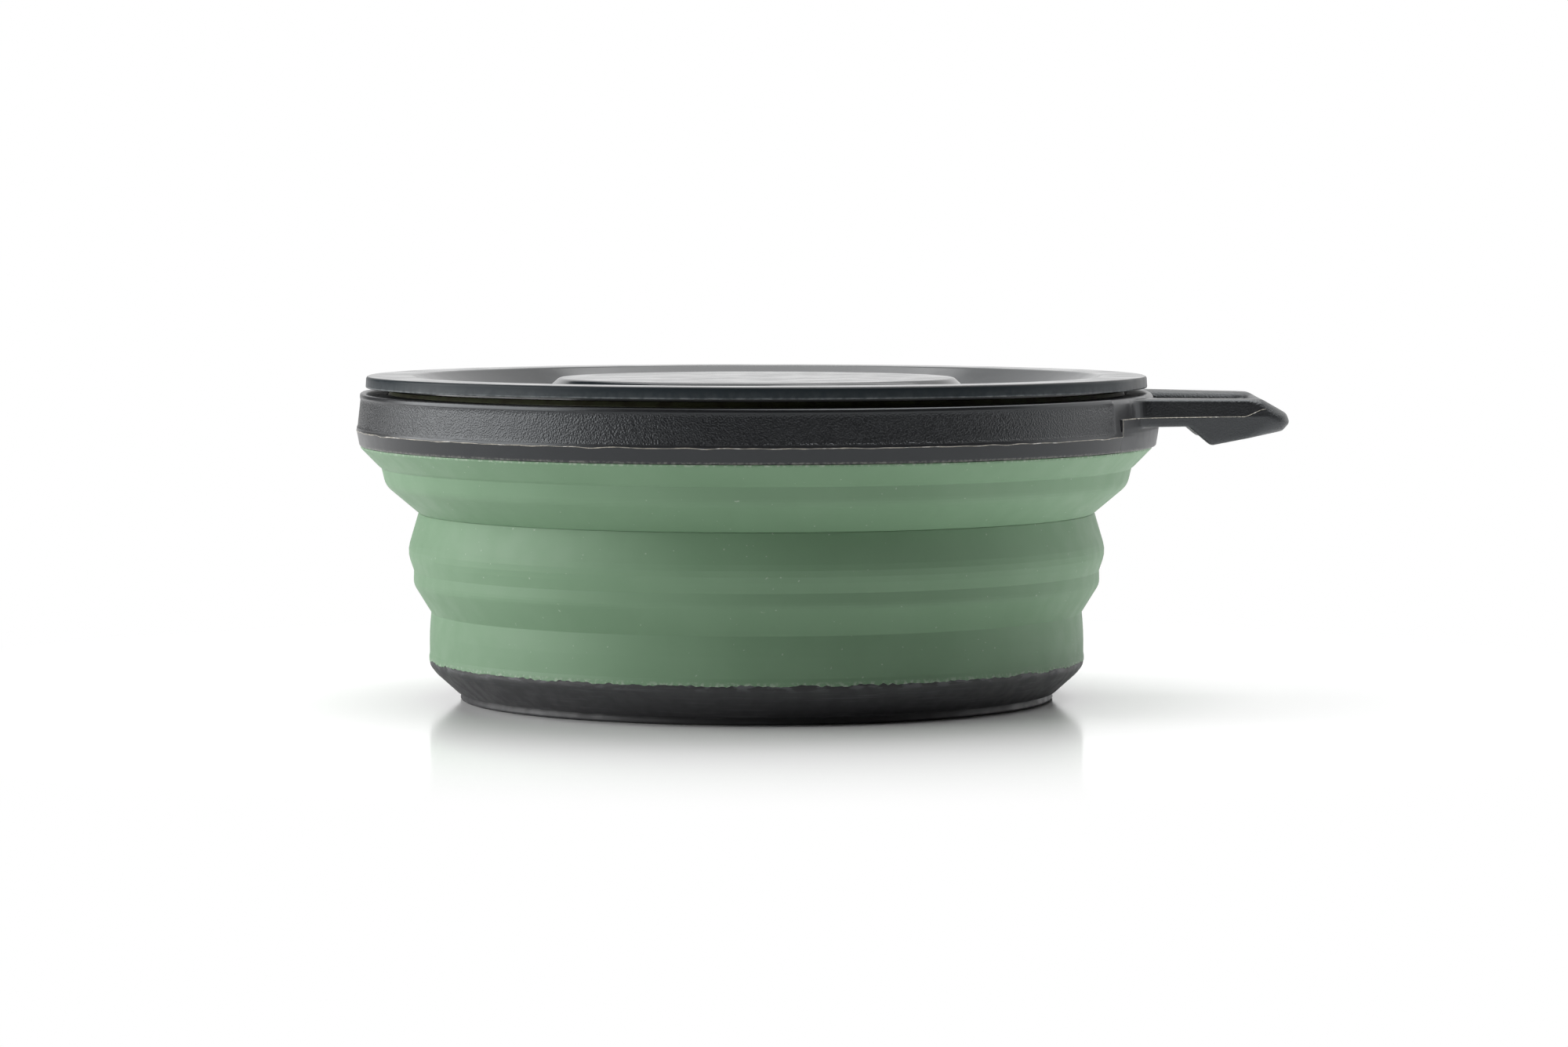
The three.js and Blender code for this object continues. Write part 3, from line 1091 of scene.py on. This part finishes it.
    def ring_outline(self, panel: bool) -> Outline:
        """Draws the ring's section.

        Args:
            panel: Whether the outside has the recessed panel.

        Returns:
            The closed outline.
        """
        top, soft = Span.of("rim_frame").top, self.panel_rounding
        panel_low = self.outside(self.panel_foot) - self.panel_inset
        panel_high = self.outside(self.panel_top) - self.panel_inset
        panel_corners = [
            Corner(self.outside(self.strip_top), self.strip_top, soft),
            Corner(panel_low, self.panel_foot, soft),
            Corner(panel_high, self.panel_top - self.panel_step, soft),
            Corner(self.outside(self.panel_top), self.panel_top, soft),
        ]
        corners = [
            Corner(self.channel_radius, self.foot),
            Corner(self.foot_radius, self.foot, self.foot_rounding),
            Corner(self.parting_radius, self.parting, 0.3),
            *(panel_corners if panel else []),
            Corner(self.top_radius, top, self.top_rounding),
            Corner(self.inner_radius, top, 0.6),
            Corner(self.inner_radius, self.leg_foot, 0.2),
            Corner(self.leg_radius, self.leg_foot),
            Corner(self.leg_radius, self.channel_top),
            Corner(self.channel_radius, self.channel_top),
        ]
        return rounded(corners, True, 12)

    @cached_property
    def plain_section(self) -> Outline:
        """The ring's section beside the handle."""
        return self.ring_outline(False)

    @cached_property
    def panel_section(self) -> Outline:
        """The ring's section with the recessed panel."""
        return self.ring_outline(True)

    @cached_property
    def side_outline(self) -> Outline:
        """Draws the handle from the side, along X and Z.

        Returns:
            The closed outline.
        """
        tip = Span.of("rim_frame").reach
        corners = [
            Corner(self.handle_core, self.handle_bottom),
            Corner(self.hook_start, self.handle_bottom, self.hook_rounding),
            self.hook_foot,
            *(Corner(tip + part.across, part.up, part.rounding) for part in self.nose),
            Corner(tip - self.brow, self.handle_top - self.brow_drop, self.brow_rounding),
            Corner(self.handle_core, self.handle_top + self.crown),
        ]
        return rounded(corners, True, 12)

    @cached_property
    def plan_outlines(self) -> tuple[Outline, Outline]:
        """Draws the handle from above.

        Returns:
            The closed outlines of its upper half, whose fillets meet the ring, and of its lower
            half, which has none.
        """
        core, tip = self.handle_core, Span.of("rim_frame").reach + self.tip_over
        contact = math.radians(self.root_angle)
        away = self.outside(self.handle_parting) + self.root_fillet
        centre = (away * math.cos(contact), away * math.sin(contact))
        turns = np.radians(np.linspace(180 + self.root_angle, 270 - self.side_slope, 9))
        fillet = [
            (
                centre[0] + self.root_fillet * math.cos(turn),
                centre[1] + self.root_fillet * math.sin(turn),
            )
            for turn in turns
        ]
        corner = Corner(tip, self.tip_half, self.tip_corner)
        side = rounded([Corner(*fillet[-1]), self.flank, corner, Corner(tip, 0)], False, 4)
        inward = (side[0][0] - core) * math.tan(math.radians(self.side_slope))
        upper = [(core, fillet[0][1]), *fillet[:-1], *side]
        lower = [(core, side[0][1] + inward), *side]
        upper, lower = (
            half + [(x, -y) for x, y in reversed(half[:-1])] for half in (upper, lower)
        )
        return upper, lower

    @cached_property
    def slot_outline(self) -> Outline:
        """Draws the finger slot from above.

        Returns:
            The closed outline.
        """
        corners = [
            Corner(self.handle_core, self.slot_start_half),
            self.slot_flank,
            Corner(self.slot_end, self.slot_end_half, self.slot_corner),
        ]
        other = [Corner(part.across, -part.up, part.rounding) for part in reversed(corners)]
        return rounded([*corners, *other], True, 8)

    @cached_property
    def tab_outline(self) -> Outline:
        """Draws the section of the tab that the handle grows from.

        Returns:
            The closed outline.
        """
        corners = [
            Corner(self.root_radius, self.foot),
            Corner(self.foot_radius, self.foot, self.foot_rounding),
            Corner(self.tab_radius, self.parting + 0.5, 9.0),
            Corner(self.tab_radius - self.tab_draft, self.tab_top, 0.12),
            Corner(self.root_radius, self.tab_top),
        ]
        return rounded(corners, True, 12)

    def ring(self, turn: Array, radius: Array, height: Array) -> Array:
        """Measures the signed distance to the ring alone.

        Args:
            turn: The angles of the points from the handle, in degrees.
            radius: Their radii in millimetres.
            height: Their heights in millimetres.

        Returns:
            The distances in millimetres.
        """
        result = np.full(turn.shape, self.far)
        close = radius < self.parting_radius + 1.5
        share = ramp(turn, *self.panel_end)
        result[close] = 0.0
        for section, part in ((self.plain_section, 1 - share), (self.panel_section, share)):
            used = close & (part > 0)
            result[used] += part[used] * outline_distance(radius[used], height[used], section)
        return result

    def tab(self, turn: Array, radius: Array, height: Array) -> Array:
        """Measures the signed distance to the tab alone, which swells towards the handle.

        Args:
            turn: The angles of the points from the handle, in degrees.
            radius: Their radii in millimetres.
            height: Their heights in millimetres.

        Returns:
            The distances in millimetres.
        """
        swell = self.tab_swell * ramp(self.tab_angle - turn, 0, self.tab_swell_angle)
        section = outline_distance(radius - swell, height, self.tab_outline)
        return np.maximum(section, np.radians(turn - self.tab_angle) * radius)

    def handle(self, angle: Array, radius: Array, height: Array) -> Array:
        """Measures the signed distance to the handle alone.

        Args:
            angle: The angles of the points, in radians.
            radius: Their radii in millimetres.
            height: Their heights in millimetres.

        Returns:
            The distances in millimetres.
        """
        x, y = radius * np.cos(angle), np.abs(radius * np.sin(angle))
        rise = height - self.handle_parting
        draft = np.where(rise > 0, self.lean * rise, -self.lower_draft * rise)
        upper, lower = (outline_distance(x, y, outline) + draft for outline in self.plan_outlines)
        plan = np.minimum(np.maximum(upper, -rise), lower)
        slot = outline_distance(x, y, self.slot_outline) - self.slot_draft * draft
        side = outline_distance(x, height, self.side_outline)
        edge = self.edge_rounding + self.nose_rounding * ramp(x, *self.nose_ramp)
        body = soft_keep(side, plan, edge)
        return np.maximum(soft_keep(body, -slot, self.slot_rounding), self.root_radius - radius)

    def joined(
        self, turn: Array, radius: Array, height: Array, ring: Array, tab: Array, handle: Array
    ) -> Array:
        """Joins the ring, the tab and the handle, and cuts the slits at the tab's ends.

        Args:
            turn: The angles of the points from the handle, in degrees.
            radius: Their radii in millimetres.
            height: Their heights in millimetres.
            ring: Their distances to the ring.
            tab: Their distances to the tab.
            handle: Their distances to the handle.

        Returns:
            The distances to the moulding.
        """
        slit_across = np.abs(np.radians(turn - self.slit_angle)) * radius - self.slit_width / 2
        slit_up = np.abs(height - self.slit_middle) - self.slit_half
        slit = np.maximum(np.maximum(slit_across, slit_up), self.slit_floor - radius)
        ring = soft_join(ring, tab, self.tab_fillet)
        return np.maximum(soft_join(ring, handle, self.handle_fillet), -slit)

    def distance(self, angle: Array, radius: Array, height: Array) -> Array:
        """Measures the signed distance to the moulding at scattered points.

        Args:
            angle: The angles of the points, in radians.
            radius: Their radii in millimetres.
            height: Their heights in millimetres.

        Returns:
            The distances in millimetres, negative inside.
        """
        turn = np.abs(np.degrees((angle + math.pi) % (2 * math.pi) - math.pi))
        near = (turn < self.handle_reach_angle) & (radius > self.root_radius - 0.6)
        ring = self.ring(turn, radius, height)
        tab, handle = np.full(turn.shape, self.far), np.full(turn.shape, self.far)
        tab[near] = self.tab(turn[near], radius[near], height[near])
        handle[near] = self.handle(angle[near], radius[near], height[near])
        return self.joined(turn, radius, height, ring, tab, handle)

    def grid(self) -> tuple[Array, Array, Array]:
        """Lays out the angles, radii and heights at which the moulding is sampled.

        Returns:
            The angles in radians, the radii and the heights in millimetres.
        """

        def spread(runs: tuple[Triple, ...]) -> Array:
            """Joins runs of start, end and step into one list."""
            steps = [np.arange(round((b - a) / step)) * step + a for a, b, step in runs]
            return np.concatenate((*steps, [runs[-1][1]]))

        angle = np.radians(spread(self.angle_runs))
        return angle, spread(self.radius_runs), spread(self.height_runs)

    def sample(self, angle: Array, radius: Array, height: Array) -> Array:
        """Measures the moulding at every point of the grid, one angle at a time.

        Args:
            angle: The grid's angles in radians.
            radius: The grid's radii in millimetres.
            height: The grid's heights in millimetres.

        Returns:
            The distances, by angle, radius and height.
        """
        radius, height = radius[:, None], height[None, :]
        plain = outline_distance(radius, height, self.plain_section)
        panel = outline_distance(radius, height, self.panel_section)
        slices = []
        for turn in np.abs(np.degrees(angle)):
            if turn > self.handle_reach_angle:
                slices.append(panel)
                continue
            ring = plain + (panel - plain) * ramp(turn, *self.panel_end)
            tab = self.tab(turn, radius, height)
            handle = self.handle(np.radians(turn), radius, height)
            slices.append(self.joined(turn, radius, height, ring, tab, handle))
        return np.stack(slices)

    def skin(self) -> tuple[Array, Faces]:
        """Finds the moulding's surface in the grid and settles its points on it.

        Returns:
            The points as angle, radius and height, and the faces between them.
        """
        axes = self.grid()
        field = self.sample(*axes)
        inside = field < 0
        turns, rings, levels = field.shape
        total = np.zeros((turns, rings - 1, levels - 1), dtype=np.int8)
        for near, i, j in product((inside, np.roll(inside, -1, 0)), (0, 1), (0, 1)):
            total += near[:, i : rings - 1 + i, j : levels - 1 + j]
        cells = np.argwhere((total > 0) & (total < 8))
        number = np.full(total.shape, -1)
        number[tuple(cells.T)] = np.arange(len(cells))
        points = self.crossings(axes, field, cells)
        faces: Faces = []
        for axis in range(3):
            change = inside != np.roll(inside, -1, axis)
            change[:, [0, -1]] = False
            change[:, :, [0, -1]] = False
            spots = np.argwhere(change)
            quad = []
            for back in ((1, 1), (0, 1), (0, 0), (1, 0)):
                cell = spots.copy()
                cell[:, [(axis + 1) % 3, (axis + 2) % 3]] -= back
                quad.append(number[cell[:, 0] % turns, cell[:, 1], cell[:, 2]])
            quads = np.stack(quad, axis=1)
            flip = inside[tuple(spots.T)]
            quads[flip] = quads[flip][:, ::-1]
            faces += [tuple(row) for row in quads.tolist()]
        for _ in range(3):
            points = self.settle(points)
        return points, faces

    def crossings(self, axes: tuple[Array, Array, Array], field: Array, cells: Array) -> Array:
        """Averages the spots at which the surface crosses the edges of each cell.

        Args:
            axes: The grid's angles, radii and heights.
            field: The distances at the grid's points.
            cells: The numbers of the cells along the three axes.

        Returns:
            A point in each cell, as angle, radius and height.
        """
        turns = len(axes[0])
        lines = (np.append(axes[0], axes[0][0] + 2 * math.pi), axes[1], axes[2])
        total, count = np.zeros(cells.shape), np.zeros((len(cells), 1))
        for axis, step in product(range(3), product((0, 1), repeat=3)):
            if step[axis]:
                continue
            near = cells + np.array(step)
            spots, depths = [], []
            for end in (near, near + np.eye(3, dtype=int)[axis]):
                spots.append(np.stack([line[part] for line, part in zip(lines, end.T)], axis=1))
                depths.append(field[end[:, 0] % turns, end[:, 1], end[:, 2]][:, None])
            crosses = (depths[0] < 0) != (depths[1] < 0)
            fall = depths[0] - depths[1]
            share = np.divide(depths[0], fall, out=np.zeros_like(fall), where=crosses)
            total += crosses * (spots[0] + (spots[1] - spots[0]) * share)
            count += crosses
        return total / count

    def settle(self, points: Array) -> Array:
        """Moves points straight onto the moulding's surface.

        Args:
            points: The points as angle, radius and height.

        Returns:
            The moved points.
        """
        angle, radius, height = points.T
        small = self.probe
        here = self.distance(angle, radius, height)
        slope_round = (self.distance(angle + small / radius, radius, height) - here) / small
        slope_out = (self.distance(angle, radius + small, height) - here) / small
        slope_up = (self.distance(angle, radius, height + small) - here) / small
        size = slope_round**2 + slope_out**2 + slope_up**2
        step = -here / np.clip(size, self.least_slope, None)
        step = np.clip(step, -self.longest_step, self.longest_step)
        moved = (
            angle + step * slope_round / radius,
            radius + step * slope_out,
            height + step * slope_up,
        )
        return np.stack(moved, axis=1)

    def flash_path(self) -> list[Array]:
        """Lays out the parting line round the ring, up the tab's ends and along the handle.

        Returns:
            Runs of points as angle, radius and height, settled on the moulding.
        """
        tab = math.radians(self.tab_angle)
        around = np.linspace(tab, 2 * math.pi - tab, 1100)
        waver = self.flash_waver * ripple(around, 21, 20, 90, 8)
        level = self.parting - self.flash_drop + waver
        runs = [np.stack((around, np.full_like(around, self.parting_radius), level), axis=1)]
        for side in (1, -1):
            up = np.linspace(self.parting, self.tab_top, 24)
            ends = np.full_like(up, side * (tab - self.flash_inset))
            runs.append(np.stack((ends, np.full_like(up, self.tab_radius), up), axis=1))
            root = math.radians(self.root_angle) + 0.02
            ledge = np.linspace(tab - self.flash_inset, root, 24)
            x = np.linspace(self.flash_across[0], self.flash_end, 150)
            y = np.interp(x, self.flash_across, self.flash_aside)
            turn = np.concatenate((ledge, np.arctan2(y, x)))
            radius = np.concatenate((np.full_like(ledge, self.tab_radius), np.hypot(x, y)))
            share = ramp(radius * np.cos(turn), self.flash_lift_start, self.flash_end)
            lift = self.handle_parting + self.flash_lift * share
            runs.append(np.stack((side * turn, radius, lift), axis=1))
        for index, run in enumerate(runs):
            for _ in range(8):
                settled = self.settle(run)
                settled[:, 2] = run[:, 2]
                run = settled
            runs[index] = run
        return runs

    def flash(self) -> tuple[Array, Faces]:
        """Builds the thin torn ribbon of flash along the parting line.

        Returns:
            The points in millimetres and the faces between them.
        """
        least, most = self.flash_least, self.flash_most
        points: list[Array] = []
        faces: Faces = []
        for index, run in enumerate(self.flash_path()):
            start = sum(len(part) for part in points)
            spot = cartesian(*run.T)
            moves = np.eye(3) * self.flash_probe
            slopes = [self.distance(*cylindrical(spot + move)) for move in moves]
            outward = np.stack(slopes, axis=1) - self.distance(*run.T)[:, None]
            outward /= np.linalg.norm(outward, axis=1)[:, None]
            ahead = np.gradient(spot, axis=0)
            ahead /= np.linalg.norm(ahead, axis=1)[:, None]
            across = np.cross(outward, ahead)
            along = np.linspace(0, 2 * math.pi, len(run))
            rough = ripple(along, 31 + index, 20, 240 if index == 0 else 40, 14)
            tall = np.clip(0.45 + 0.4 * rough, 0, 1)[:, None] * (most - least) + least
            wide = self.flash_half * (0.7 + 0.3 * tall / most)
            low = spot - outward * self.flash_sunk - across * wide
            high = spot - outward * self.flash_sunk + across * wide
            points.append(np.stack((low, spot + outward * tall, high), axis=1).reshape(-1, 3))
            for at in range(start, start + len(run) * 3 - 3, 3):
                for part in range(3):
                    follow = (part + 1) % 3
                    faces.append((at + 3 + part, at + 3 + follow, at + follow, at + part))
            last = start + len(run) * 3 - 3
            faces += [(start, start + 1, start + 2), (last + 2, last + 1, last)]
        return np.vstack(points), faces

    def grain(self, turn: Array, radius: Array, height: Array) -> Array:
        """Covers the panel with grain, and half-covers the handle.

        Args:
            turn: The angles of the vertices in degrees.
            radius: Their radii in millimetres.
            height: Their heights in millimetres.

        Returns:
            The share of grain.
        """
        rise = ramp(height, self.panel_foot - 0.5, self.panel_foot - 0.3)
        panel = ramp(np.abs(turn), *self.grain_ends) * rise * (1 - ramp(height, *self.grain_top))
        panel = panel * (radius > self.grain_radius)
        return np.maximum(panel, self.handle_grain * (radius > self.handle_radius))

    def torn(self, turn: Array, radius: Array, height: Array) -> Array:
        """Marks the foot, next to the silicone."""
        outer = (radius > self.root_radius) * (radius < self.handle_radius)
        return (1 - ramp(height, *self.torn_foot)) * outer

    def dull_and_painted_light(self, turn: Array, radius: Array, height: Array) -> Array:
        """Marks the tab and the handle's lower half, from a duller mould and tinted lighter as a
        painted reflection of the floor, and half-marks the upper.

        Args:
            turn: The angles of the vertices in degrees.
            radius: Their radii in millimetres.
            height: Their heights in millimetres.

        Returns:
            The share of the duller finish and its painted lighter tone.
        """
        below = 1 - ramp(height, self.tab_top - 0.1, self.tab_top + 0.1)
        lower = ramp(self.tab_angle - np.abs(turn), 0, 0.3) * below
        return np.maximum(lower, self.handle_dull_and_painted_light * ramp(radius, *self.dull_and_painted_light_ramp))

    def build(self) -> list[bpy.types.Object]:
        """Builds and dresses the moulding and its flash.

        Returns:
            The rim with its handle, and the flash.
        """
        points, faces = self.skin()
        rim = mesh_piece("rim_and_handle", cartesian(*points.T), faces, self.crease)
        paint(rim, "grain", self.grain)
        # Paints the lighter tone that stands in for the floor's reflection, along with the duller
        # finish.
        paint(rim, "dull_and_painted_light", self.dull_and_painted_light)
        paint(rim, "edge", self.torn)
        dress(rim, RimFinish().material(), ["rim_frame"])
        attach(rim, Body.RIM.value)
        flash = mesh_piece("rim_flash_line", *self.flash(), self.flash_crease)
        dress(flash, FlashFinish().material())
        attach(flash, Body.RIM.value)
        return [rim, flash]


@dataclass
class LidAssembly:
    """The press-in lid and its gasket."""

    flange: float = 2.1
    wall: float = 2.0
    land: float = 8.2
    dish_depth: float = 5.8
    dish_slope: float = 11.0
    dish_floor: float = 9.5
    plateau_slope: float = 6.0
    plateau_drop: float = 0.4
    skirt_radius: float = 64.8
    skirt_wall: float = 1.7
    ridge: float = 0.8
    ridge_height: float = 2.0
    waist: float = 0.5
    gasket_wall: float = 1.5
    core_inset: float = 1.0
    flange_lip: float = 0.22
    flange_draft: float = 0.12
    tilt: float = 0.5
    longest_edge: float = 4.0
    longest_seal_edge: float = 1.0
    segments: int = 480

    def settle(self, piece: bpy.types.Object) -> None:
        """Tips a piece about the lid's front edge, which is not pressed quite home.

        Args:
            piece: The mesh object, built level.
        """
        span = Span.of("lid")
        hinge = Matrix.Translation((0, -span.radius * MM, span.top * MM))
        tip = Matrix.Rotation(math.radians(-self.tilt), 4, "X")
        piece.data.transform(hinge @ tip @ hinge.inverted())

    def panel(self) -> bpy.types.Object:
        """Builds and dresses the lid's moulding.

        Returns:
            The lid's object.
        """
        span = Span.of("lid")
        seat = span.top - self.flange
        dish = span.radius - self.land
        floor = dish - self.dish_slope
        plateau_foot = floor - self.dish_floor
        plateau = plateau_foot - self.plateau_slope
        floor_up, plateau_up = span.top - self.dish_depth, span.top - self.plateau_drop
        inner = self.skirt_radius - self.skirt_wall
        ridge = self.skirt_radius + self.ridge
        corners = [
            Corner(0, plateau_up - self.wall),
            Corner(plateau - self.core_inset, plateau_up - self.wall, 1.0),
            Corner(plateau_foot - self.core_inset, floor_up - self.wall, 1.0),
            Corner(floor, floor_up - self.wall, 1.0),
            Corner(inner, seat, 1.0),
            Corner(inner, span.bottom, 0.4),
            Corner(ridge, span.bottom, 0.4),
            Corner(ridge, span.bottom + self.ridge_height, 0.2),
            Corner(self.skirt_radius, span.bottom + self.ridge_height, 0.2),
            Corner(self.skirt_radius, seat, 0.2),
            Corner(span.radius - 0.03, seat, 0.12),
            Corner(span.radius, seat + self.flange_lip, 0.06),
            Corner(span.radius - self.flange_draft, span.top, 0.55),
            Corner(dish, span.top, 2.0),
            Corner(floor, floor_up, 2.0),
            Corner(plateau_foot, floor_up, 2.0),
            Corner(plateau, plateau_up, 1.2),
            Corner(0, plateau_up),
        ]
        outline = refined(rounded(corners, False), self.longest_edge, False)
        piece = turned("lid_panel", outline, self.segments)
        rim = span.radius

        def edge(turn: Array, radius: Array, height: Array) -> Array:
            """Marks the moulded edge under the flange."""
            outer = (radius > rim - 0.4) * (height > seat - 0.1)
            return (1 - ramp(height, seat + 0.2, seat + 0.36)) * outer

        def side(turn: Array, radius: Array, height: Array) -> Array:
            """Marks the flange's upright side."""
            return ramp(radius, rim - 0.5, rim - 0.2)

        paint(piece, "edge", edge)
        paint(piece, "side", side)
        self.settle(piece)
        dress(piece, LidFinish().material(), ["lid"])
        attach(piece, Body.LID.value)
        return piece

    def seal(self) -> bpy.types.Object:
        """Builds and dresses the two-lipped gasket.

        Returns:
            The gasket's object.
        """
        span = Span.of("lid_gasket")
        inner = span.radius - self.gasket_wall
        middle, quarter = (span.bottom + span.top) / 2, (span.top - span.bottom) / 4
        corners = [
            Corner(inner, span.bottom, 0.2),
            Corner(span.radius - self.waist, span.bottom, 0.2),
            Corner(span.radius, middle - quarter, 0.25),
            Corner(span.radius - self.waist, middle, 0.3),
            Corner(span.radius, middle + quarter, 0.25),
            Corner(span.radius - self.waist, span.top, 0.2),
            Corner(inner, span.top, 0.2),
        ]
        outline = refined(rounded(corners, True), self.longest_seal_edge, True)
        piece = turned("lid_seal", outline, self.segments)
        self.settle(piece)
        dress(piece, GasketFinish().material(), ["lid_gasket"])
        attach(piece, Body.LID.value)
        return piece

    def build(self) -> list[bpy.types.Object]:
        """Builds the lid and its gasket."""
        return [self.panel(), self.seal()]


@dataclass(frozen=True)
class Softbox:
    """A soft rectangular studio light that faces the bowl, in metres and degrees."""

    name: str
    bearing: float
    distance: float
    height: float
    width: float
    tall: float
    radiance: float
    faces_up: bool = False
    reflected: bool = True
    diffuse: bool = True
    aim: float = 0.03

    def build(self) -> bpy.types.Object:
        """Places the light at its bearing, in degrees to the right of the camera's side.

        Returns:
            The light's object.
        """
        lamp = bpy.data.lights.new(self.name, "AREA")
        lamp.shape = "RECTANGLE"
        lamp.size, lamp.size_y = self.width, self.tall
        lamp.energy = self.radiance * math.pi * self.width * self.tall
        light = bpy.data.objects.new(self.name, lamp)
        turn = math.radians(self.bearing - 90)
        across, along = self.distance * math.cos(turn), self.distance * math.sin(turn)
        light.location = (across, along, self.height)
        toward = Vector((0, 0, 1)) if self.faces_up else Vector((0, 0, self.aim)) - light.location
        light.rotation_euler = toward.to_track_quat("-Z", "Y").to_euler()
        light.visible_camera = False
        light.visible_glossy = self.reflected
        light.visible_diffuse = self.diffuse
        bpy.context.scene.collection.objects.link(light)
        return light


@dataclass(frozen=True)
class ReflectionCard:
    """A curved card round the bowl that only reflections see, in metres and degrees."""

    name: str
    start: float
    end: float
    glow: float
    radius: float = 2.2
    height: float = 4.0
    steps: int = 48
    colour: Colour = (0.03, 0.03, 0.03)
    roughness: float = 0.9

    def build(self) -> bpy.types.Object:
        """Stands the card between its bearings, in degrees to the right of the camera's side.

        Returns:
            The card's object.
        """
        turns = np.radians(np.linspace(self.start, self.end, self.steps) - 90)
        radius, top = self.radius / MM, self.height / MM
        columns = [(radius * math.cos(turn), radius * math.sin(turn)) for turn in turns]
        spots = np.array([(*column, up) for column in columns for up in (0, top)])
        faces = [(2 * i, 2 * i + 1, 2 * i + 3, 2 * i + 2) for i in range(self.steps - 1)]
        card = mesh_piece(self.name, spots, faces, 60)
        finish = Finish(self.name, self.colour, self.roughness)
        finish.set(emission_color=(1, 1, 1, 1), emission_strength=self.glow)
        card.data.materials.append(finish.material)
        for ray in ("camera", "diffuse", "transmission", "volume_scatter", "shadow"):
            setattr(card, f"visible_{ray}", False)
        return card


CARDS = (
    ReflectionCard("dark_flag", -157, 84, 0.0),
    ReflectionCard("white_card", 84, 150, 1.5),
)
SOFTBOXES = (
    Softbox("left_softbox", -88, 0.9, 0.35, 1.2, 0.9, 4.6),
    Softbox("right_card", 110, 0.8, 0.09, 0.9, 0.18, 0.7, reflected=False),
    Softbox("right_bounce", 92, 0.115, 0.006, 0.09, 0.3, 1.5, faces_up=True, reflected=False),
    Softbox("back_softbox", 175, 0.45, 0.85, 1.0, 0.6, 2.2),
    Softbox("edge_light", 60, 0.4, 1.0, 0.8, 0.8, 5.0, diffuse=False),
)


@dataclass
class Studio:
    """The pale floor, the soft lights and the camera."""

    lens: float = 134.4
    sensor: float = 36.0
    camera_spot: Triple = (4.94, -1053.4, 98.5)
    pitch: float = 3.648
    floor_half: float = 6.0
    floor_albedo: float = 0.86
    floor_roughness: float = 0.12
    floor_specular: float = 0.16
    floor_gap: float = 0.02
    fade_start: float = 0.068
    fade_end: float = 0.185
    wash: Softbox = Softbox("floor_wash", 90, 0.3, 1.4, 1.6, 1.6, 2.85, reflected=False)
    surround: float = 0.02

    def camera(self) -> None:
        """Places the camera where the photograph was taken from."""
        data = bpy.data.cameras.new("studio_camera")
        data.lens = self.lens
        data.sensor_width = self.sensor
        data.clip_end = 50.0
        camera = bpy.data.objects.new("studio_camera", data)
        camera.location = [value * MM for value in self.camera_spot]
        camera.rotation_euler = (math.radians(90 - self.pitch), 0, 0)
        bpy.context.scene.collection.objects.link(camera)
        bpy.context.scene.camera = camera

    def floor(self) -> None:
        """Lays the floor, which fades to white away from the bowl, and washes it with light."""
        half = self.floor_half / MM
        corners = ((-half, -half), (half, -half), (half, half), (-half, half))
        spots = np.array([(*corner, -self.floor_gap) for corner in corners])
        floor = mesh_piece("studio_floor", spots, [(0, 1, 2, 3)], 30)
        finish = Finish("pale_floor", (self.floor_albedo,) * 3, self.floor_roughness)
        finish.set(specular_ior_level=self.floor_specular)
        tree = finish.tree
        apart = finish.node("ShaderNodeSeparateXYZ", finish.coordinates).outputs
        squares = [finish.math("POWER", apart[axis], 2.0) for axis in (0, 1)]
        away = finish.math("SQRT", finish.math("ADD", *squares))
        fade = finish.between(away, self.fade_start, self.fade_end)
        glow = finish.node("ShaderNodeEmission", (1, 1, 1, 1), 1.0)
        share = finish.math("MULTIPLY", fade, finish.seen())
        mix = finish.node("ShaderNodeMixShader", share, finish.shader.outputs[0], glow.outputs[0])
        tree.links.new(mix.outputs[0], tree.nodes["Material Output"].inputs["Surface"])
        floor.data.materials.append(finish.material)
        washed = bpy.data.collections.new("washed_floor")
        washed.objects.link(floor)
        self.wash.build().light_linking.receiver_collection = washed

    def sky(self) -> None:
        """Sets a white surround for the camera and the reflections, and a dim one for the light."""
        world = bpy.data.worlds.new("studio_surround")
        bpy.context.scene.world = world
        world.use_nodes = True
        nodes = Nodes(world.node_tree)
        back = nodes.tree.nodes["Background"]
        level = nodes.between(nodes.seen(), 0, 1, self.surround, 1)
        nodes.tree.links.new(level, back.inputs["Strength"])
        back.inputs["Color"].default_value = (1, 1, 1, 1)

    def build(self) -> None:
        """Builds the floor, the surround, the lights and the camera."""
        self.camera()
        self.floor()
        for card in CARDS:
            card.build()
        self.sky()
        for box in SOFTBOXES:
            box.build()


def main() -> None:
    """Builds the bowl from the base up, then its studio, and sets the Standard view transform."""
    logging.basicConfig(level=logging.INFO, format="%(name)s %(message)s")
    for assembly in (BaseShell(), BellowsWall(), RimFrame(), LidAssembly()):
        assembly.build()
        LOG.info("%s built", type(assembly).__name__)
    Studio().build()
    bpy.context.scene.view_settings.view_transform = "Standard"


if __name__ == "__main__":
    main()
